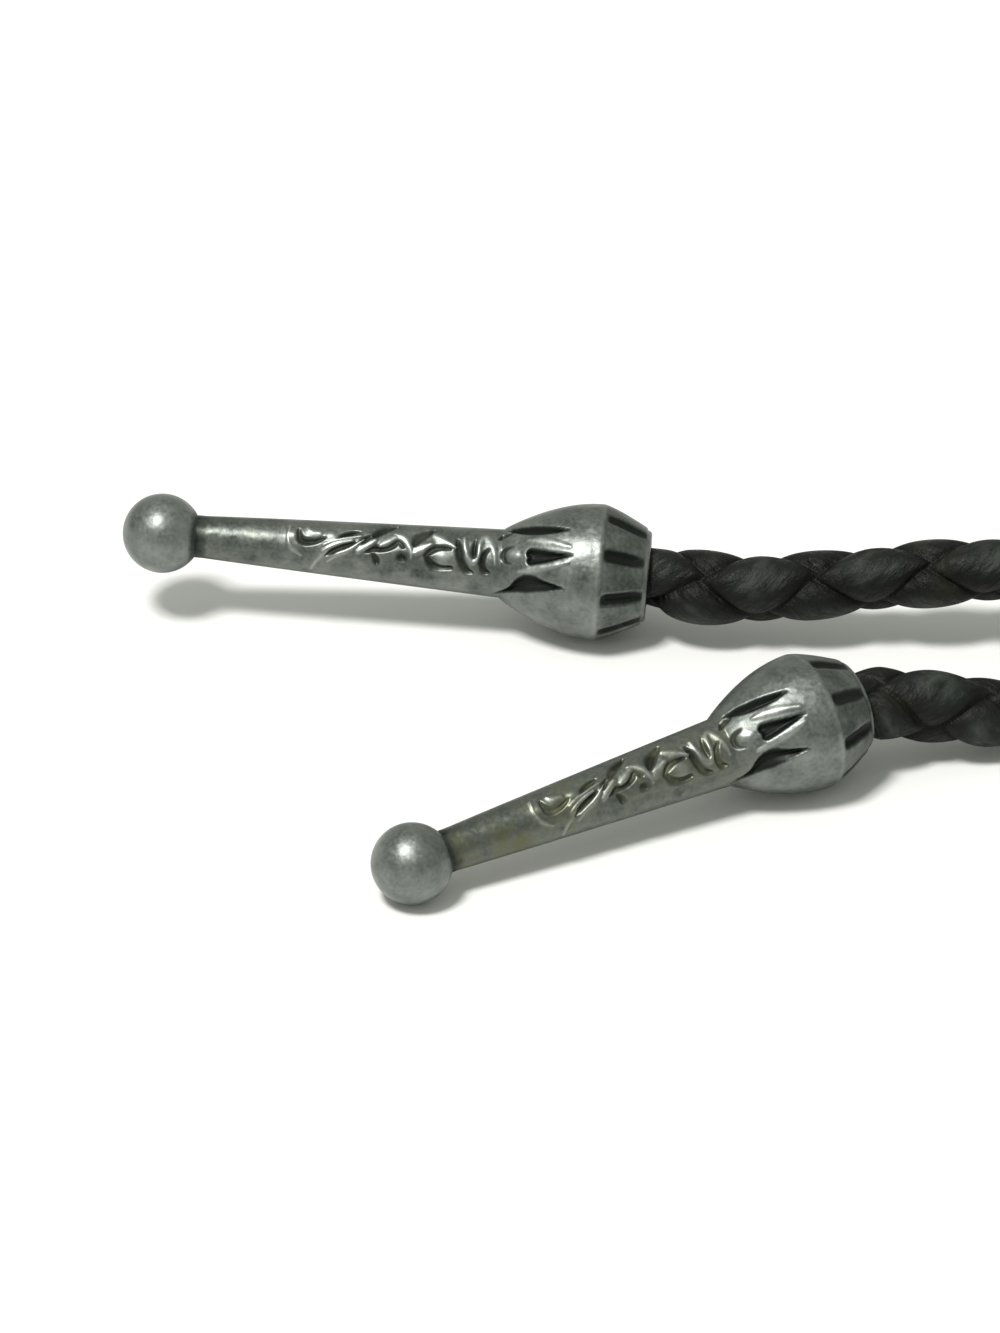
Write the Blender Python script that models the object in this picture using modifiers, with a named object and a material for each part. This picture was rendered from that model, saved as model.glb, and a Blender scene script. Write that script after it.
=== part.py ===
"""Bolo tie: two cast tips on a braided cord that runs through a plain slide.

Metres, +Z up. The origin is the middle of the slide's flat back, on the surface that the tie lies on.
+X runs from the tips to the round end of the neck loop.
"""

import math

import bmesh
import bpy
from mathutils import Matrix, Vector

# Clearances
GAP = 0.0003                    # left between pieces that touch
FLOOR_CLEARANCE = 0.00002       # left under what rests on the surface

# Cord
CORD_DIAMETER = 0.0070          # across the crowns of the braid
CORD_POINT_SPACING = 0.0165     # distance between the points of a tube, a little over two diameters
CORD_SIDES_LEVEL = 4            # bevel resolution, which gives twelve sides

# Tip, from its rim to the end of its ball
TIP_LENGTH = 0.0484
BALL_DIAMETER = 0.0073
STEM_BALL_DIAMETER = 0.0034     # stem where it leaves the ball
STEM_COLLAR_DIAMETER = 0.0063   # stem where the collar starts
STEM_SWELL = 0.85               # 1 is a straight taper, less is a fuller stem
FLARE_LENGTH = 0.0090
FLARE_FULLNESS = 0.90
RIDGE_DIAMETER = 0.0125
REAR_LENGTH = 0.00455           # from the ridge back to the rim
REAR_FULLNESS = 1.25
RIM_DIAMETER = 0.0084
RIM_EDGE_RADIUS = 0.00035
SOCKET_DIAMETER = 0.0066
SOCKET_DEPTH = 0.0090
TIP_STEPS = 32
BALL_STEPS = 11
STEM_STEPS = 7
FLARE_STEPS = 7
REAR_STEPS = 3

# Darts cut into the front of the flare
DART_COUNT = 3
DART_SPACING = math.radians(32)
DART_LENGTH = 0.0062
DART_WIDTH = 0.0017
DART_DEPTH = 0.00055
DART_START = 0.0006             # from the start of the flare

# Slots cut round the rear cone
SLOT_COUNT = 9
SLOT_WIDTH = 0.0007
SLOT_DEPTH = 0.00045
SLOT_START = 0.0006             # from the ridge
SLOT_TURN = math.radians(-4.5)  # of the first slot from the tip's front

# Raised scrolls on the front of the stem
SCROLL_COUNT = 4
SCROLL_START = 0.0012           # from the start of the flare, towards the ball
SCROLL_BAND_LENGTH = 0.0185
SCROLL_WIRE_DIAMETER = 0.0007
SCROLL_TURN = math.radians(300)
SCROLL_POINTS = 11
SCROLL_SPREAD = 0.55            # height of a scroll as a share of its stem's radius
SCROLL_PITCH_SHARE = 0.42       # height of a scroll's outer turn as a share of its pitch
SCROLL_CURL_IN = 0.62           # how far a scroll closes in towards its end

# Slide
PLATE_LENGTH = 0.0520
PLATE_WIDTH = 0.0360
PLATE_EDGE = 0.0020             # thickness at the edge
PLATE_DOME = 0.0020             # rise of the dome above the edge
PLATE_ROUNDING = PLATE_EDGE / 3
PLATE_STEPS = 48
DOME_STEPS = 6
BLOCK_LENGTH = 0.0240
BLOCK_WALL = 0.0012             # beside and below the tunnels
BLOCK_ROOF = 0.0004             # between the tunnels and the plate
TUNNEL_SPACING = 0.0120         # between the middles of the two tunnels
TUNNEL_SIDES = 20

# Where the tips lie: middle of the rim, direction from ball to rim, and how far the front is turned to -Y
FAR_RIM = (-0.1511, 0.0184)
FAR_AZIMUTH = math.radians(-6.9)
FAR_BALL_LIFT = 0.0051          # the stiff cord holds this ball off the surface
NEAR_RIM = (-0.1343, -0.0048)
NEAR_AZIMUTH = math.radians(25.2)
FRONT_TURN = math.radians(38)

# Routes of the cord: x, y and height of its underside above the surface
FAR_ROUTE = [
    (-0.1465, 0.0169, 0.0022),
    (-0.1410, 0.0162, 0.0022),
    (-0.1353, 0.0161, 0.0026),
    (-0.1279, 0.0157, 0.0035),
    (-0.1195, 0.0153, 0.0042),
    (-0.1080, 0.0151, 0.0045),
    (-0.0940, 0.0152, 0.0040),
    (-0.0780, 0.0145, 0.0024),
    (-0.0600, 0.0121, 0.0010),
    (-0.0430, 0.0090, 0.0004),
    (-0.0280, 0.0066, 0.0007),
]
NEAR_ROUTE = [
    (-0.1306, -0.0039, 0.0025),
    (-0.1265, -0.0034, 0.0016),
    (-0.1210, -0.0028, 0.0007),
    (-0.1130, -0.0020, 0.0001),
    (-0.1000, -0.0024, 0.0000),
    (-0.0820, -0.0050, 0.0000),
    (-0.0620, -0.0076, 0.0000),
    (-0.0430, -0.0078, 0.0001),
    (-0.0280, -0.0065, 0.0007),
]
LOOP_ROUTE = [
    (0.0280, 0.0066, 0.0007),
    (0.0440, 0.0098, 0.0001),
    (0.0640, 0.0152, 0.0000),
    (0.0880, 0.0202, 0.0000),
    (0.1150, 0.0228, 0.0000),
    (0.1450, 0.0231, 0.0000),
    (0.1750, 0.0232, 0.0000),
    (0.2000, 0.0238, 0.0000),
    (0.2180, 0.0206, 0.0000),
    (0.2308, 0.0118, 0.0000),
    (0.2354, -0.0006, 0.0000),
    (0.2305, -0.0128, 0.0000),
    (0.2170, -0.0212, 0.0000),
    (0.1990, -0.0238, 0.0000),
    (0.1740, -0.0228, 0.0000),
    (0.1440, -0.0226, 0.0000),
    (0.1140, -0.0224, 0.0000),
    (0.0870, -0.0196, 0.0000),
    (0.0630, -0.0146, 0.0000),
    (0.0440, -0.0095, 0.0001),
    (0.0280, -0.0065, 0.0007),
]

CORD_RADIUS = CORD_DIAMETER / 2
BALL_RADIUS = BALL_DIAMETER / 2
RIDGE_RADIUS = RIDGE_DIAMETER / 2
TUNNEL_RADIUS = CORD_RADIUS + GAP
TUNNEL_HEIGHT = BLOCK_WALL + TUNNEL_RADIUS
BLOCK_HEIGHT = TUNNEL_HEIGHT + TUNNEL_RADIUS + BLOCK_ROOF
BLOCK_WIDTH = TUNNEL_SPACING + 2 * (TUNNEL_RADIUS + BLOCK_WALL)
FLARE_START = REAR_LENGTH + FLARE_LENGTH
BALL_CENTRE = TIP_LENGTH - BALL_RADIUS
# A faceted hole's flats lie inside its circle by this share
TUNNEL_COVER = math.cos(math.pi / TUNNEL_SIDES)


def clear_scene():
    """Remove whatever the scene holds."""
    for old in list(bpy.data.objects):
        bpy.data.objects.remove(old, do_unlink=True)


def make_collection(name):
    """Return a new collection linked to the scene."""
    collection = bpy.data.collections.new(name)
    bpy.context.scene.collection.children.link(collection)
    return collection


def make_material(name, colour, roughness, metallic):
    """Return a Principled material."""
    material = bpy.data.materials.new(name)
    material.use_nodes = True
    shader = material.node_tree.nodes["Principled BSDF"]
    shader.inputs["Base Color"].default_value = (*colour, 1.0)
    shader.inputs["Roughness"].default_value = roughness
    shader.inputs["Metallic"].default_value = metallic
    return material


def add_object(name, mesh, collection, material=None):
    """Link a mesh as a new object."""
    obj = bpy.data.objects.new(name, mesh)
    collection.objects.link(obj)
    if material is not None:
        mesh.materials.append(material)
    return obj


def profile_mesh(name, points):
    """Return a mesh of one open line in the XZ plane, given as radius and height pairs."""
    mesh = bpy.data.meshes.new(name)
    shape = bmesh.new()
    verts = [shape.verts.new((radius, 0, height)) for radius, height in points]
    for first, second in zip(verts, verts[1:]):
        shape.edges.new((first, second))
    shape.to_mesh(mesh)
    shape.free()
    return mesh


def add_screw(obj, steps):
    """Turn an object's profile once round Z."""
    screw = obj.modifiers.new("turn", "SCREW")
    screw.axis = "Z"
    screw.steps = steps
    screw.render_steps = steps
    screw.use_merge_vertices = True
    screw.merge_threshold = 0.00001
    return screw


def baked(obj, collection, material=None):
    """Return a plain mesh object made from the evaluated object, which is removed."""
    bpy.context.view_layer.update()
    source = obj.evaluated_get(bpy.context.evaluated_depsgraph_get())
    mesh = bpy.data.meshes.new_from_object(source)
    shape = bmesh.new()
    shape.from_mesh(mesh)
    bmesh.ops.remove_doubles(shape, verts=shape.verts, dist=0.000001)
    shape.to_mesh(mesh)
    shape.free()
    name = obj.name
    matrix = obj.matrix_world.copy()
    bpy.data.objects.remove(obj, do_unlink=True)
    result = add_object(name, mesh, collection, material)
    result.matrix_world = matrix
    return result


def make_cutter(obj):
    """Hide a cutter from renders."""
    obj.hide_render = True
    obj.display_type = "WIRE"
    return obj


def add_boolean(obj, other, operation):
    """Cut or join another object with the exact solver."""
    boolean = obj.modifiers.new(other.name, "BOOLEAN")
    boolean.operation = operation
    boolean.solver = "EXACT"
    boolean.object = other
    return boolean


def smooth(obj, angle=35):
    """Shade a round piece smooth, with its edges kept sharp."""
    obj.data.shade_smooth()
    obj.data.set_sharp_from_angle(angle=math.radians(angle))


def stem_radius(height):
    """Return the stem's radius at a height above the rim."""
    share = (BALL_CENTRE - height) / (BALL_CENTRE - FLARE_START)
    ends = (STEM_BALL_DIAMETER / 2, STEM_COLLAR_DIAMETER / 2)
    return ends[0] + (ends[1] - ends[0]) * max(0.0, min(1.0, share)) ** STEM_SWELL


def flare_radius(height):
    """Return the flare's radius at a height above the rim."""
    share = (height - REAR_LENGTH) / FLARE_LENGTH
    neck = STEM_COLLAR_DIAMETER / 2
    return neck + (RIDGE_RADIUS - neck) * math.cos(share * math.pi / 2) ** FLARE_FULLNESS


def rear_radius(height):
    """Return the rear cone's radius at a height above the rim."""
    share = (REAR_LENGTH - height) / REAR_LENGTH
    return RIDGE_RADIUS - (RIDGE_RADIUS - RIM_DIAMETER / 2) * share ** REAR_FULLNESS


def tip_profile():
    """Return the tip's section: down its outer side from the ball to the rim, then up its socket."""
    join = math.asin(STEM_BALL_DIAMETER / 2 / BALL_RADIUS)
    points = []
    for i in range(BALL_STEPS + 1):
        angle = (math.pi - join) * i / BALL_STEPS
        points.append((BALL_RADIUS * math.sin(angle), BALL_CENTRE + BALL_RADIUS * math.cos(angle)))
    stem_top = points[-1][1]
    for i in range(1, STEM_STEPS):
        height = stem_top + (FLARE_START - stem_top) * i / STEM_STEPS
        points.append((stem_radius(height), height))
    for i in range(FLARE_STEPS + 1):
        height = FLARE_START - FLARE_LENGTH * i / FLARE_STEPS
        points.append((flare_radius(height), height))
    for i in range(1, REAR_STEPS + 1):
        height = REAR_LENGTH + (RIM_EDGE_RADIUS - REAR_LENGTH) * i / REAR_STEPS
        points.append((rear_radius(height), height))
    points.append((RIM_DIAMETER / 2 - RIM_EDGE_RADIUS, 0))
    points.append((SOCKET_DIAMETER / 2, 0))
    points.append((SOCKET_DIAMETER / 2, SOCKET_DEPTH))
    points.append((0, SOCKET_DEPTH))
    points[0] = (0, points[0][1])
    return points


def surface_frame(radius_at, height, turn):
    """Return a point on a turned surface, its outward normal and its downhill direction."""
    step = 0.0001
    slope = (radius_at(height + step) - radius_at(height - step)) / (2 * step)
    outward = Vector((math.cos(turn), math.sin(turn), 0))
    downhill = (outward * slope + Vector((0, 0, 1))).normalized() * -1
    side = Vector((-math.sin(turn), math.cos(turn), 0))
    normal = side.cross(downhill).normalized()
    if normal.dot(outward) < 0:
        normal.negate()
    return outward * radius_at(height) + Vector((0, 0, height)), normal, downhill


def placed(point, normal, along):
    """Return a matrix whose X is the normal and whose Z is the direction along the surface."""
    across = along.cross(normal).normalized()
    matrix = Matrix((normal, across, along)).transposed().to_4x4()
    matrix.translation = point
    return matrix


def dart_cutters(name, collection):
    """Return one object with the pointed darts of the flare."""
    mesh = bpy.data.meshes.new(name)
    shape = bmesh.new()
    for i in range(DART_COUNT):
        turn = (i - (DART_COUNT - 1) / 2) * DART_SPACING
        middle = FLARE_START - DART_START - DART_LENGTH / 2
        point, normal, downhill = surface_frame(flare_radius, middle, turn)
        matrix = placed(point, normal, downhill)
        stretch = Matrix.Diagonal((DART_DEPTH * 2, DART_WIDTH, 1, 1))
        bmesh.ops.create_cone(shape, cap_ends=True, segments=4, radius1=math.sqrt(0.5), radius2=0.02,
                              depth=DART_LENGTH, matrix=matrix @ stretch)
    bmesh.ops.recalc_face_normals(shape, faces=shape.faces)
    shape.to_mesh(mesh)
    shape.free()
    return make_cutter(add_object(name, mesh, collection))


def slot_cutters(name, collection):
    """Return one object with the slots round the rear cone."""
    mesh = bpy.data.meshes.new(name)
    shape = bmesh.new()
    length = REAR_LENGTH - SLOT_START
    for i in range(SLOT_COUNT):
        turn = SLOT_TURN + i * 2 * math.pi / SLOT_COUNT
        point, normal, downhill = surface_frame(rear_radius, length / 2, turn)
        stretch = Matrix.Diagonal((SLOT_DEPTH * 2, SLOT_WIDTH, length * 1.15, 1))
        bmesh.ops.create_cube(shape, size=1, matrix=placed(point, normal, downhill) @ stretch)
    shape.to_mesh(mesh)
    shape.free()
    return make_cutter(add_object(name, mesh, collection))


def scroll_points(index):
    """Return the points of one raised scroll on the stem, a curl that opens up or down by turns."""
    pitch = SCROLL_BAND_LENGTH / SCROLL_COUNT
    middle = FLARE_START + SCROLL_START + pitch * (index + 0.5)
    way = 1 if index % 2 == 0 else -1
    points = []
    for i in range(SCROLL_POINTS):
        share = i / (SCROLL_POINTS - 1)
        angle = SCROLL_TURN * share
        size = 1 - SCROLL_CURL_IN * share
        height = middle + pitch * SCROLL_PITCH_SHARE * size * math.cos(angle)
        radius = stem_radius(height)
        turn = way * SCROLL_SPREAD * size * math.sin(angle)
        points.append(Vector((radius * math.cos(turn), radius * math.sin(turn), height)))
    return points


def add_tube(name, points, diameter, sides_level, collection, radii=None):
    """Return a curve tube with filled caps through the given points."""
    curve = bpy.data.curves.new(name, "CURVE")
    curve.dimensions = "3D"
    curve.bevel_depth = diameter / 2
    curve.bevel_resolution = sides_level
    curve.use_fill_caps = True
    spline = curve.splines.new("POLY")
    spline.points.add(len(points) - 1)
    for i, point in enumerate(points):
        spline.points[i].co = (*point, 1)
        if radii is not None:
            spline.points[i].radius = radii[i] / (diameter / 2)
    obj = bpy.data.objects.new(name, curve)
    collection.objects.link(obj)
    return obj


def make_tip(name, matrix, parts, helpers, material):
    """Build one cast tip and put it in its place."""
    tip = add_object(name, profile_mesh(name, tip_profile()), parts)
    add_screw(tip, TIP_STEPS)
    tip = baked(tip, parts, material)
    add_boolean(tip, dart_cutters(name + "_darts", helpers), "DIFFERENCE")
    add_boolean(tip, slot_cutters(name + "_slots", helpers), "DIFFERENCE")
    for index in range(SCROLL_COUNT):
        wire = add_tube(f"{name}_scroll_{index + 1}", scroll_points(index), SCROLL_WIRE_DIAMETER, 1, helpers)
        wire = make_cutter(baked(wire, helpers))
        add_boolean(tip, wire, "UNION")
        wire.parent = tip
    for cut in ("_darts", "_slots"):
        helpers.objects[name + cut].parent = tip
    smooth(tip)
    tip.matrix_world = matrix
    return tip


def tip_matrix(rim, azimuth, ball_height):
    """Return a tip's place: its ridge rests on the surface and its ball's middle is at ball_height."""
    reach = BALL_CENTRE - REAR_LENGTH
    ridge_height = RIDGE_RADIUS + FLOOR_CLEARANCE
    tilt = math.asin((ridge_height - ball_height) / reach)
    forward = Vector((math.cos(tilt) * math.cos(azimuth), math.cos(tilt) * math.sin(azimuth), math.sin(tilt)))
    level = Vector((math.sin(azimuth), -math.cos(azimuth), 0))
    up = level.cross(forward).normalized()
    if up.z < 0:
        up.negate()
    front = (up * math.cos(FRONT_TURN) + level * math.sin(FRONT_TURN)).normalized()
    along = -forward
    side = along.cross(front)
    matrix = Matrix((front, side, along)).transposed().to_4x4()
    matrix.translation = Vector((*rim, ridge_height + REAR_LENGTH * math.sin(tilt)))
    return matrix


def make_slide(parts, helpers, material):
    """Build the plain slide: a domed oval plate on a block with two tunnels."""
    under = BLOCK_HEIGHT
    edge_top = under + PLATE_EDGE
    rounding = PLATE_ROUNDING
    points = []
    for i in range(DOME_STEPS + 1):
        share = i / DOME_STEPS
        radius = share * (1 - rounding / (PLATE_LENGTH / 2))
        points.append((radius, edge_top + PLATE_DOME * (1 - share ** 2)))
    points.append((1.0, edge_top - rounding))
    points.append((1.0, under + rounding))
    points.append((1 - rounding / (PLATE_LENGTH / 2), under))
    points.append((0, under))
    slide = add_object("slide", profile_mesh("slide", points), parts)
    add_screw(slide, PLATE_STEPS)
    slide = baked(slide, parts, material)
    slide.data.transform(Matrix.Diagonal((PLATE_LENGTH / 2, PLATE_WIDTH / 2, 1, 1)))

    block_mesh = bpy.data.meshes.new("slide_block")
    shape = bmesh.new()
    block_size = Matrix.Diagonal((BLOCK_LENGTH, BLOCK_WIDTH, BLOCK_HEIGHT + PLATE_EDGE / 2, 1))
    bmesh.ops.create_cube(shape, size=1, matrix=Matrix.Translation((0, 0, (BLOCK_HEIGHT + PLATE_EDGE / 2) / 2))
                          @ block_size)
    shape.to_mesh(block_mesh)
    shape.free()
    add_boolean(slide, make_cutter(add_object("slide_block", block_mesh, helpers)), "UNION")

    for name, side in (("slide_tunnel_far", 1), ("slide_tunnel_near", -1)):
        mesh = bpy.data.meshes.new(name)
        shape = bmesh.new()
        place = Matrix.Translation((0, side * TUNNEL_SPACING / 2, TUNNEL_HEIGHT))
        bmesh.ops.create_cone(shape, cap_ends=True, segments=TUNNEL_SIDES, radius1=TUNNEL_RADIUS / TUNNEL_COVER,
                              radius2=TUNNEL_RADIUS / TUNNEL_COVER, depth=BLOCK_LENGTH * 1.5,
                              matrix=place @ Matrix.Rotation(math.pi / 2, 4, "Y"))
        shape.to_mesh(mesh)
        shape.free()
        add_boolean(slide, make_cutter(add_object(name, mesh, helpers)), "DIFFERENCE")
    smooth(slide)
    return slide


def smooth_curve(route, spacing):
    """Return points at an even spacing along a smooth curve through the route."""
    ends = [route[0] * 2 - route[1], *route, route[-1] * 2 - route[-2]]
    fine = []
    pieces = 24
    for i in range(1, len(ends) - 2):
        before, start, stop, after = ends[i - 1:i + 3]
        for j in range(pieces):
            t = j / pieces
            fine.append(0.5 * (2 * start + (stop - before) * t + (2 * before - 5 * start + 4 * stop - after) * t * t
                               + (3 * start - before - 3 * stop + after) * t ** 3))
    fine.append(route[-1])
    lengths = [0.0]
    for first, second in zip(fine, fine[1:]):
        lengths.append(lengths[-1] + (second - first).length)
    count = max(2, round(lengths[-1] / spacing))
    points = []
    at = 0
    for i in range(count + 1):
        target = lengths[-1] * i / count
        while at < len(fine) - 2 and lengths[at + 1] < target:
            at += 1
        share = (target - lengths[at]) / (lengths[at + 1] - lengths[at])
        points.append(fine[at].lerp(fine[at + 1], min(1.0, max(0.0, share))))
    return points


def lifted(route):
    """Return a route's points with their heights measured to the cord's middle."""
    return [Vector((x, y, CORD_RADIUS + FLOOR_CLEARANCE + lift)) for x, y, lift in route]


def socket_points(matrix):
    """Return the cord's points inside a tip's socket, from its bottom to the rim."""
    depths = (SOCKET_DEPTH - GAP, SOCKET_DEPTH / 2, 0)
    return [matrix @ Vector((0, 0, depth)) for depth in depths]


def tunnel_points(side, way):
    """Return the cord's points in a tunnel, from its mouth to the middle of the slide."""
    y = side * TUNNEL_SPACING / 2
    return [Vector((way * x, y, TUNNEL_HEIGHT)) for x in (BLOCK_LENGTH / 2, BLOCK_LENGTH / 4, GAP / 2)]


def make_strand(name, matrix, route, side, parts, material):
    """Build the cord from a tip's socket to the middle of the slide."""
    inside = socket_points(matrix)
    path = smooth_curve([*inside, *lifted(route), *tunnel_points(side, -1)], CORD_POINT_SPACING / 2)
    narrow = SOCKET_DIAMETER / 2 - GAP
    kept = []
    radii = []
    rim = inside[-1]
    out_of_socket = (inside[-1] - inside[0]).normalized()
    last = None
    for i, point in enumerate(path):
        beyond = (point - rim).dot(out_of_socket)
        if last is not None and beyond > CORD_DIAMETER and i < len(path) - 1:
            if (point - last).length < CORD_POINT_SPACING * 0.9:
                continue
        kept.append(point)
        share = min(1.0, max(0.0, (beyond - GAP) / CORD_DIAMETER))
        radii.append(narrow + (CORD_RADIUS - narrow) * share)
        last = point
    strand = add_tube(name, kept, CORD_DIAMETER, CORD_SIDES_LEVEL, parts, radii)
    return baked(strand, parts, material)


def make_neck_loop(parts, material):
    """Build the cord round the neck, from the middle of the slide and back to it."""
    start = list(reversed(tunnel_points(1, 1)))
    stop = tunnel_points(-1, 1)
    path = smooth_curve([*start, *lifted(LOOP_ROUTE), *stop], CORD_POINT_SPACING * 0.75)
    loop = add_tube("neck_loop", path, CORD_DIAMETER, CORD_SIDES_LEVEL, parts)
    return baked(loop, parts, material)


def main():
    """Build the bolo tie."""
    clear_scene()
    parts = make_collection("bolo_tie")
    helpers = make_collection("cutters")
    pewter = make_material("antique_pewter", (0.30, 0.31, 0.29), 0.42, 1.0)
    leather = make_material("braided_leather", (0.028, 0.029, 0.028), 0.48, 0.0)

    far_place = tip_matrix(FAR_RIM, FAR_AZIMUTH, BALL_RADIUS + FLOOR_CLEARANCE + FAR_BALL_LIFT)
    near_place = tip_matrix(NEAR_RIM, NEAR_AZIMUTH, BALL_RADIUS + FLOOR_CLEARANCE)
    make_tip("tip_far", far_place, parts, helpers, pewter)
    make_tip("tip_near", near_place, parts, helpers, pewter)
    make_slide(parts, helpers, pewter)
    make_strand("strand_far", far_place, FAR_ROUTE, 1, parts, leather)
    make_strand("strand_near", near_place, NEAR_ROUTE, -1, parts, leather)
    make_neck_loop(parts, leather)


main()
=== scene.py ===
"""Bolo tie: two cast western tips on a braided leather cord that runs through a domed slide.

Lengths are in metres, in the frame of the CAD model. A tip's own heights run from its rim towards its ball.
"""

import enum
import logging
import math
from dataclasses import dataclass

import bpy
import numpy as np
from mathutils import Matrix, Vector


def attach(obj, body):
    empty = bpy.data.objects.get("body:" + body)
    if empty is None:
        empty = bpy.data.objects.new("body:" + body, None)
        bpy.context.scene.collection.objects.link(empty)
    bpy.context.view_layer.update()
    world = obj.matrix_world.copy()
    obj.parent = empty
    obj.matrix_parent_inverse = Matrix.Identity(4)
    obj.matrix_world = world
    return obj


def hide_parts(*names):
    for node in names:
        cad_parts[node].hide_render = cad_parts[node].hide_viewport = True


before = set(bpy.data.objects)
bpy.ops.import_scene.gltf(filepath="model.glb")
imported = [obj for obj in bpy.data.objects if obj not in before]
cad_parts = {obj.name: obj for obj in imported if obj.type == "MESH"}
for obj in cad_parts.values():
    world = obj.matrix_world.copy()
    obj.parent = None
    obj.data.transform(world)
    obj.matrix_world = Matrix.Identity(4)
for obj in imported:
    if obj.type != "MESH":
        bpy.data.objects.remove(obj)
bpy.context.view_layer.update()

Piece = bpy.types.Object
Finish = bpy.types.Material
Socket = bpy.types.NodeSocket
Array = np.ndarray

LOG = logging.getLogger("bolo_tie")
MM = 0.001
GAP = 0.0003
FLOOR_CLEARANCE = 0.00002
CORD_DIAMETER = 0.0070
ROUTE_PIECES = 24


class Relief(enum.Enum):
    """Which way a stroke of the casting's artwork goes."""

    RAISED = "raised"
    SUNK = "sunk"


class Lie(enum.Enum):
    """Which of the two tips a casting is, as the camera sees them."""

    FAR = "far"
    NEAR = "near"


def deselect_all() -> None:
    """Leave nothing selected, so that the next operator acts on its own piece alone."""
    if bpy.context.object and bpy.context.object.mode != "OBJECT":
        bpy.ops.object.mode_set(mode="OBJECT")
    bpy.ops.object.select_all(action="DESELECT")


def pick(piece: Piece) -> None:
    """Select one piece and make it the active one.

    Args:
        piece: The piece that the next operators act on.
    """
    deselect_all()
    piece.select_set(True)
    bpy.context.view_layer.objects.active = piece


def settle(piece: Piece) -> None:
    """Put a piece's place into its mesh, so that its object sits at the origin.

    Args:
        piece: The piece to settle.
    """
    pick(piece)
    bpy.ops.object.transform_apply(location=True, rotation=True, scale=True)


def coordinates(piece: Piece) -> Array:
    """Read a piece's vertices.

    Args:
        piece: A mesh piece.

    Returns:
        One row of x, y and z for each vertex.
    """
    flat = np.empty(len(piece.data.vertices) * 3)
    piece.data.vertices.foreach_get("co", flat)
    return flat.reshape(-1, 3)


def move_vertices(piece: Piece, points: Array) -> None:
    """Write a piece's vertices.

    Args:
        piece: A mesh piece.
        points: One row of x, y and z for each vertex.
    """
    piece.data.vertices.foreach_set("co", points.ravel())
    piece.data.update()


def paint(piece: Piece, layer: str, values: Array) -> None:
    """Store one number for each vertex, for a finish to read.

    Args:
        piece: A mesh piece.
        layer: The attribute's name.
        values: One number for each vertex.
    """
    attribute = piece.data.attributes.new(layer, "FLOAT", "POINT")
    attribute.data.foreach_set("value", values.astype(np.float32))


def ease(values: Array, start: float, stop: float) -> Array:
    """Rise smoothly from 0 to 1 between two values.

    Args:
        values: Where to read the rise.
        start: Where the rise starts.
        stop: Where it ends.

    Returns:
        The rise at each value.
    """
    share = np.clip((values - start) / (stop - start), 0.0, 1.0)
    return share * share * (3.0 - 2.0 * share)


def between(values: Array, rise: tuple[float, float], fall: tuple[float, float]) -> Array:
    """Rise smoothly from 0 to 1 and fall back to 0.

    Args:
        values: Where to read it.
        rise: Where the rise starts and ends.
        fall: Where the fall starts and ends.

    Returns:
        The height of the hump at each value.
    """
    return ease(values, *rise) * (1 - ease(values, *fall))


def ridge(values: Array, middle: float, width: float) -> Array:
    """Return a soft peak of height 1 round one value."""
    return np.exp(-((values - middle) / width) ** 2)


def curve_through(points: Array, pieces: int) -> Array:
    """Draw a smooth curve through points.

    Args:
        points: One row for each point.
        pieces: How many pieces each stretch between two points is cut into.

    Returns:
        The points of the curve, with the last one.
    """
    ends = np.vstack([2 * points[0] - points[1], points, 2 * points[-1] - points[-2]])
    fine = []
    for first, start, stop, last in zip(ends, ends[1:], ends[2:], ends[3:]):
        for step in range(pieces):
            share = step / pieces
            fine.append(0.5 * (2 * start + (stop - first) * share
                               + (2 * first - 5 * start + 4 * stop - last) * share ** 2
                               + (3 * start - first - 3 * stop + last) * share ** 3))
    return np.array([*fine, points[-1]])


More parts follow.
